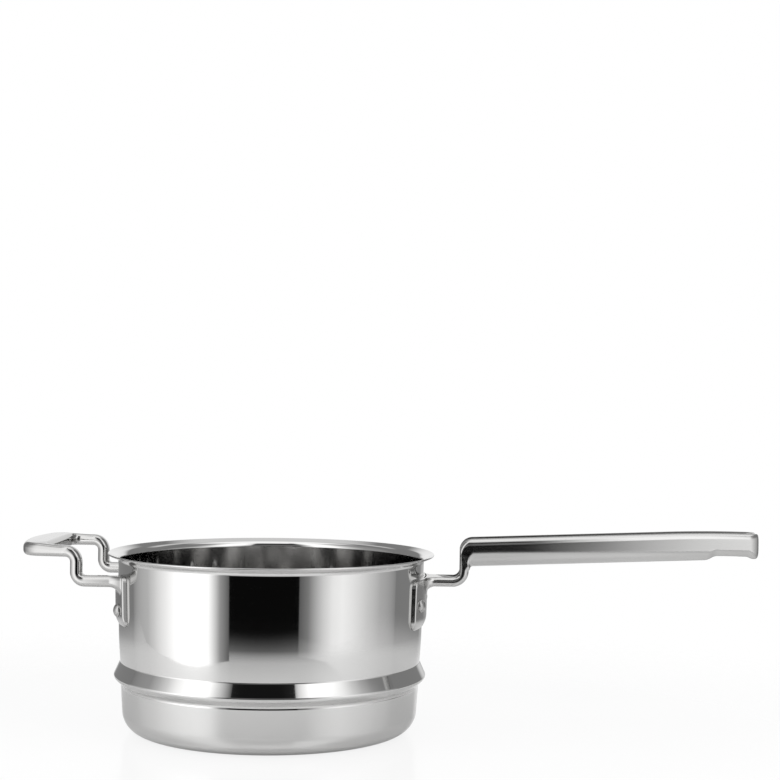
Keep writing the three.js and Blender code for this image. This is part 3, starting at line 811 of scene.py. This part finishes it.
def handle_stretches(root):
    """The handle's stretches: each a line of its top, one of its underside, two sections and its steps."""
    arm_under = arm_top - ARM_THICKNESS
    low_bend = (riser - ARM_BEND, arm_top + ARM_BEND)
    grip_start = riser + GRIP_BEND
    high_bend = (grip_start, top_at(grip_start) - GRIP_BEND)
    inner_corner = (riser_outer + RISER_LEAN, top_at(belly_start) - GRIP_DEPTH)
    riser_top = (inner_corner[0], inner_corner[1] - BELLY_FILLET)
    channel_start = grip_start + CHANNEL_RUN_IN
    belly_end = tip - HOLE_END_LENGTH
    thin_start = belly_end + BELLY_STEP
    tip_start = tip - TIP_LENGTH
    step_middle = (np.array(belly_point(belly_end)) + thin_point(thin_start)) / 2
    step_leave = belly_point(belly_end + BELLY_STEP / 4)
    step_arrive = thin_point(thin_start - BELLY_STEP / 4)

    edges = dict.fromkeys(("rim_width", "rim_depth", "round_width", "round_depth"), ARM_EDGE)
    rounded = {
        "rim_width": RIM_WIDTH,
        "rim_depth": RIM_DEPTH,
        "round_width": BELLY_ROUND_WIDTH,
        "round_depth": BELLY_ROUND_DEPTH,
    }
    flat = {"width": ARM_WIDTH, "hollow": 0, **edges}
    strip = {"width": ARM_WIDTH, "hollow": ARM_HOLLOW, **edges}
    belly = {"width": GRIP_WIDTH, "hollow": ARM_HOLLOW, **rounded}
    channel = {"width": GRIP_WIDTH, "hollow": GRIP_HOLLOW, **rounded}
    belly_last = {**channel, "round_depth": BELLY_END_ROUND_DEPTH}
    thin = {**channel, "round_depth": HOLE_END_ROUND_DEPTH}
    thin_last = {**thin, "hollow": CHANNEL_END}
    step_section = mix(belly_last, thin, 0.5)

    return [
        (
            straight((root, arm_top), (low_bend[0], arm_top)),
            straight((root, arm_under), (low_bend[0], arm_under)),
            flat, strip, ARM_STEPS,
        ),
        (
            arc(low_bend, ARM_BEND, 270, 360),
            arc(low_bend, ARM_BEND + ARM_THICKNESS, 270, 360),
            strip, strip, LOW_BEND_STEPS,
        ),
        (
            straight((riser, low_bend[1]), (riser, high_bend[1])),
            straight((riser_outer, low_bend[1]), riser_top),
            strip, strip, RISER_STEPS,
        ),
        (
            arc(high_bend, GRIP_BEND, 180, 90),
            bent(riser_top, inner_corner, belly_point(belly_start)),
            strip, belly, HIGH_BEND_STEPS,
        ),
        (
            along_x(top_point, grip_start, channel_start),
            along_x(belly_point, belly_start, channel_start),
            belly, channel, RUN_IN_STEPS,
        ),
        (
            along_x(top_point, channel_start, belly_end),
            along_x(belly_point, channel_start, belly_end),
            channel, belly_last, CHANNEL_STEPS,
        ),
        (
            along_x(top_point, belly_end, step_middle[0]),
            bent(belly_point(belly_end), step_leave, step_middle),
            belly_last, step_section, BELLY_STEP_STEPS,
        ),
        (
            along_x(top_point, step_middle[0], thin_start),
            bent(step_middle, step_arrive, thin_point(thin_start)),
            step_section, thin, BELLY_STEP_STEPS,
        ),
        (
            along_x(top_point, thin_start, tip_start),
            along_x(thin_point, thin_start, tip_start),
            thin, thin_last, HOLE_END_STEPS,
        ),
    ]


def turned_in(x, radius):
    """How far a rounding of the tip has come in from its side, at a place along the handle."""
    past = min(max(x - tip + radius, 0), radius)
    return radius - math.sqrt(radius**2 - past**2)


def ease(share):
    """A smooth step from 0 to 1."""
    share = min(max(share, 0), 1)
    return share**2 * (3 - 2 * share)


def tip_rings(section):
    """The end of the handle, where its sides turn in and a lobe swells under it."""
    rings = []
    for angle in np.linspace(0, math.pi / 2, TIP_RINGS + 1)[1:]:
        x = tip - TIP_LENGTH * (1 - math.sin(angle))
        share = 1 - (tip - x) / TIP_LENGTH
        lobe = TIP_LOBE * ease(share * TIP_LENGTH / TIP_LOBE_LENGTH)
        edge = turned_in(x, TIP_ROUND)
        top = (x, top_at(x) - edge)
        under = (x, thin_point(x)[1] - lobe + edge)
        narrowed = 1 - 2 * turned_in(x, TIP_CORNER) / GRIP_WIDTH
        flattened = min((top[1] - under[1]) / HOLE_END_DEPTH, 1)
        across = {key: section[key] * narrowed for key in ("width", "rim_width", "round_width")}
        down = {key: section[key] * flattened for key in ("rim_depth", "round_depth")}
        hollow = {"hollow": section["hollow"] * (1 - share)}
        rings.append(channel_ring(top, under, {**across, **down, **hollow}))
    return rings


def handle_rings():
    """The handle's rings, from inside its plate to the tip."""
    root = plate_face(arm_top) + ROOT_FILLET
    stretches = handle_stretches(root)
    flat = stretches[0][2]
    rings = []
    for share in ROOT_SHARES[:-1]:
        flare = fillet_at(share)
        section = {**flat, "width": ARM_WIDTH + 2 * flare}
        under = arm_top - ARM_THICKNESS - flare
        rings.append(root_ring(channel_ring((root, arm_top), (root, under), section), share, 1, root))
    for k, (top, under, start, end, steps) in enumerate(stretches):
        for i in range(1 if k else 0, steps + 1):
            share = i / steps
            rings.append(channel_ring(top(share), under(share), mix(start, end, share)))
    return rings + tip_rings(stretches[-1][3])


def hanging_punch():
    """What the hanging hole takes out of the handle."""
    round_end = HANG_HOLE_WIDTH / 2
    half = HANG_HOLE_LENGTH / 2
    middle = tip - HANG_HOLE_TO_TIP - half
    corner = round_end - HANG_HOLE_FLAT
    outline = plate_outline(half, round_end, corner, HANG_HOLE_ACROSS, HANG_HOLE_UPRIGHT)
    levels = [top_at(middle) - 2 * GRIP_DEPTH, top_at(middle) + GRIP_DEPTH]
    rings = [[(middle + x, y, z) for x, y in outline] for z in levels]
    return new_object("hanging_punch", *loft(rings))


def long_handle():
    piece = new_object("long_handle_piece", *loft(handle_rings()))
    plate = wall_plate(
        "handle_plate", 1, 0, HANDLE_PLATE_WIDTH, HANDLE_PLATE_HEIGHT, HANDLE_PLATE_CORNER, arm_top
    )
    combine(piece, "UNION", plate)
    combine(piece, "DIFFERENCE", hanging_punch(), rivet_drills())
    smooth(piece)
    return piece


# Helper loop

loop_low = loop_top - LOOP_THICKNESS / 2
loop_high = loop_low + LOOP_RISE
loop_riser = wall_radius(loop_top) + LOOP_REACH
loop_grip_start = loop_riser + LOOP_HIGH_BEND + LOOP_LEVEL
loop_outer = LOOP_WIDTH / 2
loop_inner = loop_outer - LEG_WIDTH


def bar_ring(outer, inner, up, thickness):
    """A rounded rectangle between the loop's outer and inner edge, as thick as given along up."""
    outer, inner, up = np.array(outer), np.array(inner), np.array(up)
    middle = (outer + inner) / 2
    half = np.linalg.norm(outer - inner) / 2
    across = (inner - outer) / (2 * half)
    ring = []
    for corner in range(4):
        across_sign = 1 if corner < 2 else -1
        up_sign = 1 if corner in (0, 3) else -1
        for step in np.linspace(0, math.pi / 2, EDGE_POINTS):
            angle = (1 - corner) * math.pi / 2 - step
            a = across_sign * (half - LOOP_EDGE) + LOOP_EDGE * math.cos(angle)
            u = up_sign * (thickness / 2 - LOOP_EDGE) + LOOP_EDGE * math.sin(angle)
            ring.append(middle + a * across + u * up)
    return ring


def far_leg_rings():
    """The far leg, from inside its pad out to where the grip begins."""
    face = math.sqrt(plate_face(loop_top) ** 2 - leg_middle**2)
    root = face + ROOT_FILLET
    rings = []
    for share in ROOT_SHARES[:-1]:
        flare = fillet_at(share)
        side = min(flare, (PAD_WIDTH - LEG_WIDTH) / 2 - PLATE_EDGE)
        level = loop_low - flare / 2
        ends = (-root, loop_outer + side, level), (-root, loop_inner - side, level)
        ring = bar_ring(*ends, (0, 0, 1), LOOP_THICKNESS + flare)
        rings.append(root_ring(ring, share, -1, root))
    path = round_corners(
        [
            (root, loop_low, 0),
            (loop_riser, loop_low, LOOP_LOW_BEND),
            (loop_riser, loop_high, LOOP_HIGH_BEND),
            (loop_grip_start, loop_high, 0),
        ]
    )
    for i, (reach, z) in enumerate(path):
        outwards, upwards = direction(path[max(i - 1, 0)], path[min(i + 1, len(path) - 1)])
        ends = (-reach, loop_outer, z), (-reach, loop_inner, z)
        rings.append(bar_ring(*ends, (upwards, 0, outwards), LOOP_THICKNESS))
    return rings


def far_grip_rings():
    """Half of the flat grip, from the end of the far leg to the middle of the loop."""
    opening = loop_grip_start + LOOP_OPENING
    end = opening + LOOP_GRIP_DEPTH
    narrow = loop_outer - LOOP_GRIP_TAPER
    bowed = narrow - LOOP_GRIP_CORNER
    side_start = np.array((loop_grip_start, loop_outer))
    side_end = np.array((end - 2 * LOOP_GRIP_BULGE * LOOP_GRIP_CORNER / bowed, narrow))
    turn_start = side_end - LOOP_GRIP_CORNER * direction(side_start, side_end)
    shares = np.linspace(0, 1, GRIP_RINGS)
    inner_turn = bent(
        (opening - LOOP_OPENING_CORNER, loop_inner),
        (opening, loop_inner),
        (opening, loop_inner - LOOP_OPENING_CORNER),
    )
    inner_edge = [(loop_grip_start, loop_inner), *map(inner_turn, shares), (opening, 0)]
    outer_turn = bent(turn_start, side_end, (end, bowed))
    bow = bent((end, bowed), (end + LOOP_GRIP_BULGE, bowed / 2), (end + LOOP_GRIP_BULGE, 0))
    outer_edge = [side_start, *map(outer_turn, shares), *map(bow, shares[1:])]
    rings = []
    for outer, inner in zip(even_points(outer_edge, GRIP_RINGS), even_points(inner_edge, GRIP_RINGS)):
        thicker = LOOP_GRIP_RISE * ease((outer[0] - loop_grip_start) / (end - loop_grip_start))
        ends = [(-x, y, loop_high + thicker / 2) for x, y in (outer, inner)]
        rings.append(bar_ring(*ends, (0, 0, 1), LOOP_THICKNESS + thicker))
    return rings


def helper_loop():
    far = [np.array(ring) for ring in far_leg_rings() + far_grip_rings()]
    near = [ring * (1, -1, 1) for ring in reversed(far[:-1])]
    piece = new_object("helper_loop_piece", *loft(far + near))
    pads = [
        wall_plate("pad", -1, middle, PAD_WIDTH, PAD_HEIGHT, PAD_CORNER, loop_top)
        for middle in (leg_middle, -leg_middle)
    ]
    combine(piece, "UNION", *pads)
    combine(piece, "DIFFERENCE", rivet_drills())
    smooth(piece)
    return piece


# Materials


def set_input(tree, socket, value):
    """Links a socket, or gives it a plain value."""
    if isinstance(value, bpy.types.NodeSocket):
        tree.links.new(value, socket)
    else:
        socket.default_value = value


def add_node(tree, kind, *given, **settings):
    """A new node with its settings, and with a link or a plain value for each of its first inputs."""
    node = tree.nodes.new(kind)
    for name, value in settings.items():
        setattr(node, name, value)
    for socket, value in zip(node.inputs, given):
        set_input(tree, socket, value)
    return node


def new_material(name):
    """A material and its nodes."""
    material = bpy.data.materials.new(name)
    material.use_nodes = True
    return material, material.node_tree


def calculate(tree, operation, a, b):
    return add_node(tree, "ShaderNodeMath", a, b, operation=operation).outputs[0]


def remap(tree, value, start, end, low, high, shape="LINEAR"):
    """A value between start and end, mapped to one between low and high."""
    given = value, start, end, low, high
    return add_node(tree, "ShaderNodeMapRange", *given, interpolation_type=shape).outputs["Result"]


def smooth_step(tree, value, start, end, low, high):
    return remap(tree, value, start, end, low, high, "SMOOTHSTEP")


def parts(tree, vector):
    """The X, Y and Z of a vector."""
    return add_node(tree, "ShaderNodeSeparateXYZ", vector).outputs


def length(tree, vector):
    return add_node(tree, "ShaderNodeVectorMath", vector, operation="LENGTH").outputs["Value"]


def object_place(tree):
    return add_node(tree, "ShaderNodeTexCoord").outputs["Object"]


def stretched_place(tree, factors):
    """A place on the object with each of its coordinates times a factor."""
    place = object_place(tree)
    return add_node(tree, "ShaderNodeVectorMath", place, factors, operation="MULTIPLY").outputs[0]


def lathe_lines(tree):
    """Coordinates that are the same all round the bowl, so that a texture on them runs in rings."""
    radius = length(tree, stretched_place(tree, (1, 1, 0)))
    height = parts(tree, object_place(tree))["Z"]
    return add_node(tree, "ShaderNodeCombineXYZ", radius, 0, height).outputs[0]


def streaks_along(axis):
    """Coordinates that change slowly along one axis, so that a texture on them runs in streaks that way."""
    factors = [STREAK_STRETCH if letter == axis else 1 for letter in "XYZ"]
    return lambda tree: stretched_place(tree, factors)


def noise(tree, place, scale, detail):
    node = add_node(tree, "ShaderNodeTexNoise", place)
    node.inputs["Scale"].default_value = scale
    node.inputs["Detail"].default_value = detail
    return node.outputs["Fac"]


def mixed_tone(tree, share, first, second):
    """The colour at a share of the way between two, which are the node's last sockets."""
    node = add_node(tree, "ShaderNodeMix", share, data_type="RGBA")
    set_input(tree, node.inputs[6], first)
    set_input(tree, node.inputs[7], second)
    return node.outputs[2]


def steel(name, grain_place, tones, roughness, grain_scale, grain_depth):
    """Polished steel: a fine grain left by polishing, and broad soft changes of tone."""
    material, tree = new_material(name)
    shader = tree.nodes["Principled BSDF"]
    shader.inputs["Metallic"].default_value = 1
    grain = noise(tree, grain_place(tree), grain_scale, GRAIN_DETAIL)
    cloud = noise(tree, object_place(tree), CLOUD_SCALE, CLOUD_DETAIL)
    tone = mixed_tone(tree, cloud, *[(*tone, 1) for tone in tones])
    tree.links.new(tone, shader.inputs["Base Color"])
    tree.links.new(remap(tree, grain, *GRAIN_RANGE, *roughness), shader.inputs["Roughness"])
    bump = add_node(tree, "ShaderNodeBump")
    bump.inputs["Distance"].default_value = grain_depth * MM
    tree.links.new(grain, bump.inputs["Height"])
    tree.links.new(bump.outputs["Normal"], shader.inputs["Normal"])
    return material


def satin_inside(material):
    """Makes the faces that look towards the middle of the bowl satin, as if brushed round and round."""
    tree = material.node_tree
    shader = tree.nodes["Principled BSDF"]
    spot = add_node(tree, "ShaderNodeTexCoord").outputs
    outward = add_node(
        tree, "ShaderNodeVectorMath", spot["Normal"], spot["Object"], operation="DOT_PRODUCT"
    ).outputs["Value"]
    polished = shader.inputs["Roughness"].links[0].from_socket
    satin = smooth_step(tree, outward, *INSIDE_EDGE, INSIDE_ROUGHNESS, 0)
    tree.links.new(calculate(tree, "ADD", polished, satin), shader.inputs["Roughness"])
    brushing = smooth_step(tree, outward, *INSIDE_EDGE, INSIDE_BRUSHING, 0)
    tree.links.new(brushing, shader.inputs["Anisotropic"])
    shader.inputs["Anisotropic Rotation"].default_value = INSIDE_TURN
    around = add_node(tree, "ShaderNodeTangent", direction_type="RADIAL", axis="Z")
    tree.links.new(around.outputs[0], shader.inputs["Tangent"])
    grain = shader.inputs["Normal"].links[0].from_node
    tree.links.new(smooth_step(tree, outward, *INSIDE_EDGE, 0, 1), grain.inputs["Strength"])


def shade_and_roughen_channel(material):
    """Paints shade as a dark tone on the walls inside the handle's channel, and makes them rougher where no
    polishing wheel reaches.
    """
    tree = material.node_tree
    shader = tree.nodes["Principled BSDF"]
    spot = add_node(tree, "ShaderNodeTexCoord").outputs
    facing = parts(tree, spot["Normal"])["Y"]
    outward = calculate(tree, "MULTIPLY", facing, parts(tree, spot["Object"])["Y"])
    polished_tone = shader.inputs["Base Color"].links[0].from_socket
    polished = shader.inputs["Roughness"].links[0].from_socket
    share = smooth_step(tree, outward, *CHANNEL_EDGE, 1, 0)
    # painted shade: the channel's walls take the dark tone
    tone = mixed_tone(tree, share, polished_tone, (*CHANNEL_SHADE_TONE, 1))
    tree.links.new(tone, shader.inputs["Base Color"])
    dull = smooth_step(tree, outward, *CHANNEL_EDGE, CHANNEL_ROUGHNESS, 0)
    tree.links.new(calculate(tree, "ADD", polished, dull), shader.inputs["Roughness"])


# Studio


def mirrored_rays(tree):
    """1 for a ray that metal mirrors or glass lets through."""
    path = add_node(tree, "ShaderNodeLightPath").outputs
    return calculate(tree, "ADD", path["Is Glossy Ray"], path["Is Transmission Ray"])


def camera_rays(tree):
    return add_node(tree, "ShaderNodeLightPath").outputs["Is Camera Ray"]


def whitened(tree, shader, distance):
    """A surface that is mostly plain white to the camera, and in the steel partly white, with painted light
    growing away from the bowl; it keeps its shadow.
    """
    to_camera = calculate(tree, "MULTIPLY", camera_rays(tree), TABLE_WHITE)
    # painted light: more white in the steel the farther from the bowl
    outwards = smooth_step(tree, distance, *TABLE_SHADE, *TABLE_PAINTED_LIGHT_MIRRORED)
    to_steel = calculate(tree, "MULTIPLY", mirrored_rays(tree), outwards)
    share = calculate(tree, "ADD", to_camera, to_steel)
    white = add_node(tree, "ShaderNodeEmission").outputs[0]
    return add_node(tree, "ShaderNodeMixShader", share, shader.outputs[0], white).outputs[0]


def table():
    """An oval white table top that fades out towards its rim."""
    turns = np.linspace(0, 2 * math.pi, TABLE_SIDES, endpoint=False)
    oval = np.c_[np.cos(turns) * TABLE_STRETCH, np.sin(turns), np.zeros(TABLE_SIDES)]
    rings = [oval * radius for radius in np.linspace(TABLE_RADIUS, 0, TABLE_RINGS + 1)[:-1]]
    last = (TABLE_RINGS - 1) * TABLE_SIDES
    points = np.concatenate([*rings, [(0, 0, 0)]]) - (0, 0, TABLE_GAP)
    faces = skin(TABLE_RINGS, TABLE_SIDES) + fan(last, TABLE_SIDES, last + TABLE_SIDES)
    made = new_object("table", points / MM, faces)
    material, tree = new_material("table_white")
    shader = tree.nodes["Principled BSDF"]
    shader.inputs["Base Color"].default_value = (TABLE_TONE, TABLE_TONE, TABLE_TONE, 1)
    shader.inputs["Roughness"].default_value = TABLE_ROUGHNESS
    shader.inputs["IOR"].default_value = TABLE_IOR
    shader.inputs["Specular IOR Level"].default_value = TABLE_GLOSS
    distance = length(tree, stretched_place(tree, (1 / TABLE_STRETCH, 1, 1)))
    rim = smooth_step(tree, distance, TABLE_FADE, TABLE_RADIUS, 0, 1)
    top = whitened(tree, shader, distance)
    clear = add_node(tree, "ShaderNodeBsdfTransparent").outputs[0]
    faded = add_node(tree, "ShaderNodeMixShader", rim, top, clear).outputs[0]
    tree.links.new(faded, tree.nodes["Material Output"].inputs["Surface"])
    made.data.materials.append(material)
    return made


def glow_ramp(tree, along, glow):
    """The brightness along a panel, from its levels at shares of the way."""
    ramp = add_node(tree, "ShaderNodeValToRGB", along)
    steps = ramp.color_ramp.elements
    while len(steps) < len(glow):
        steps.new(1)
    for step, (at, level) in zip(steps, glow):
        step.position = at
        step.color = (level, level, level, 1)
    return ramp.outputs[0]


def light_panel(name, inner, outer, change, low_glow, high_glow):
    """An upright panel between two points of the floor plan, with one light low and another high up."""
    place = straight(inner, outer)
    points = []
    for share in np.linspace(0, 1, PANEL_STRIPS + 1):
        points.append((*place(share), PANEL_BOTTOM - PANEL_FALL * share**2))
        points.append((*place(share), PANEL_TOP))
    faces = [(2 * k, 2 * k + 2, 2 * k + 3, 2 * k + 1) for k in range(PANEL_STRIPS)]
    made = new_object(name, np.array(points) / MM, faces)
    made.visible_camera = False
    made.visible_shadow = False
    material, tree = new_material(name)
    tree.nodes.remove(tree.nodes["Principled BSDF"])
    spot = add_node(tree, "ShaderNodeTexCoord").outputs
    along = parts(tree, spot["Generated"])["Y"]
    height = parts(tree, spot["Object"])["Z"]
    low_share = smooth_step(tree, height, *change, 1, 0)
    high_share = smooth_step(tree, height, *change, 0, 1)
    low_light = calculate(tree, "MULTIPLY", glow_ramp(tree, along, low_glow), low_share)
    high_light = calculate(tree, "MULTIPLY", glow_ramp(tree, along, high_glow), high_share)
    emit = add_node(tree, "ShaderNodeEmission")
    tree.links.new(calculate(tree, "ADD", low_light, high_light), emit.inputs["Strength"])
    tree.links.new(emit.outputs[0], tree.nodes["Material Output"].inputs["Surface"])
    made.data.materials.append(material)
    return made


def table_lamp():
    """A soft lamp above that lights the table, and is not mirrored in the steel."""
    data = bpy.data.lights.new("table_lamp", "AREA")
    data.shape = "RECTANGLE"
    data.size = LAMP_LENGTH
    data.size_y = LAMP_WIDTH
    data.energy = LAMP_POWER
    made = bpy.data.objects.new("table_lamp", data)
    made.location = LAMP_PLACE
    made.visible_camera = False
    made.visible_glossy = False
    bpy.context.scene.collection.objects.link(made)


def studio_world():
    """White to the camera, and for the steel a room that is dark in front and bright behind and above."""
    world = bpy.data.worlds.new("studio")
    bpy.context.scene.world = world
    world.use_nodes = True
    tree = world.node_tree
    way = parts(tree, add_node(tree, "ShaderNodeTexCoord").outputs["Generated"])
    ahead, up = way["Y"], way["Z"]
    behind = smooth_step(tree, ahead, *BACKDROP_AHEAD, 0, 1)
    rise = smooth_step(tree, up, *BACKDROP_UP, BACKDROP_LOW, 1)
    backdrop = calculate(tree, "MULTIPLY", behind, rise)
    level = calculate(tree, "MULTIPLY", backdrop, mirrored_rays(tree))
    sides = smooth_step(tree, ahead, *SIDES_AHEAD, *SIDES_LIGHT)
    front_start = smooth_step(tree, up, *FRONT_UP, 0, FRONT_LIGHT)
    front_end = smooth_step(tree, up, *FRONT_END_UP, 1, FRONT_END_SHARE)
    front = calculate(tree, "MULTIPLY", front_start, front_end)
    ceiling = smooth_step(tree, up, *CEILING_UP, 0, CEILING_LIGHT)
    far = smooth_step(tree, ahead, *HIGH_BEHIND_AHEAD, 0, HIGH_BEHIND_LIGHT)
    high = smooth_step(tree, up, *HIGH_BEHIND_UP, 0, 1)
    high_behind = calculate(tree, "MULTIPLY", far, high)
    for light in (sides, front, ceiling, high_behind, camera_rays(tree)):
        level = calculate(tree, "MAXIMUM", level, light)
    back = tree.nodes["Background"]
    tree.links.new(level, back.inputs["Color"])
    back.inputs["Strength"].default_value = 1


def camera():
    """The photo's camera: level, turned a little to the left, and rolled a little."""
    data = bpy.data.cameras.new("camera")
    data.lens = CAMERA_LENS
    made = bpy.data.objects.new("camera", data)
    bpy.context.scene.collection.objects.link(made)
    turn = Matrix.Rotation(CAMERA_TURN, 4, "Z") @ Matrix.Rotation(math.pi / 2, 4, "X")
    made.matrix_world = Matrix.Translation(CAMERA_PLACE) @ turn @ Matrix.Rotation(CAMERA_ROLL, 4, "Z")
    bpy.context.scene.camera = made


def dress(piece, node, material):
    """Puts a piece in the frame in place of its CAD node."""
    piece.data.materials.append(material)
    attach(piece, "root")
    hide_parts(node)


def main():
    """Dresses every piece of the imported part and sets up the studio."""
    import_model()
    bpy.context.scene.view_settings.view_transform = "Standard"
    bowl_steel = steel("bowl_steel", lathe_lines, **BOWL_FINISH)
    satin_inside(bowl_steel)
    handle_steel = steel("handle_steel", streaks_along("X"), **HANDLE_FINISH)
    # painted shade and more roughness on the walls inside the handle's channel
    shade_and_roughen_channel(handle_steel)
    # the loop's darker tones are painted shade
    loop_steel = steel("loop_steel", streaks_along("Y"), **LOOP_FINISH_AND_SHADE)
    # the rivets' dark tones are partly painted shade
    rivet_steel = steel("rivet_steel", object_place, **RIVET_FINISH_AND_SHADE)

    dress(steamer_bowl(), "steamer_bowl", bowl_steel)
    dress(long_handle(), "long_handle", handle_steel)
    dress(helper_loop(), "helper_loop", loop_steel)
    for name in RIVETS:
        dress(rivet(name), name, rivet_steel)

    table()
    light_panel("left_panel", *LEFT_PANEL, LEFT_CHANGE, LEFT_LOW_GLOW, LEFT_HIGH_GLOW)
    light_panel("right_panel", *RIGHT_PANEL, RIGHT_CHANGE, RIGHT_LOW_GLOW, RIGHT_HIGH_GLOW)
    table_lamp()
    studio_world()
    camera()


main()
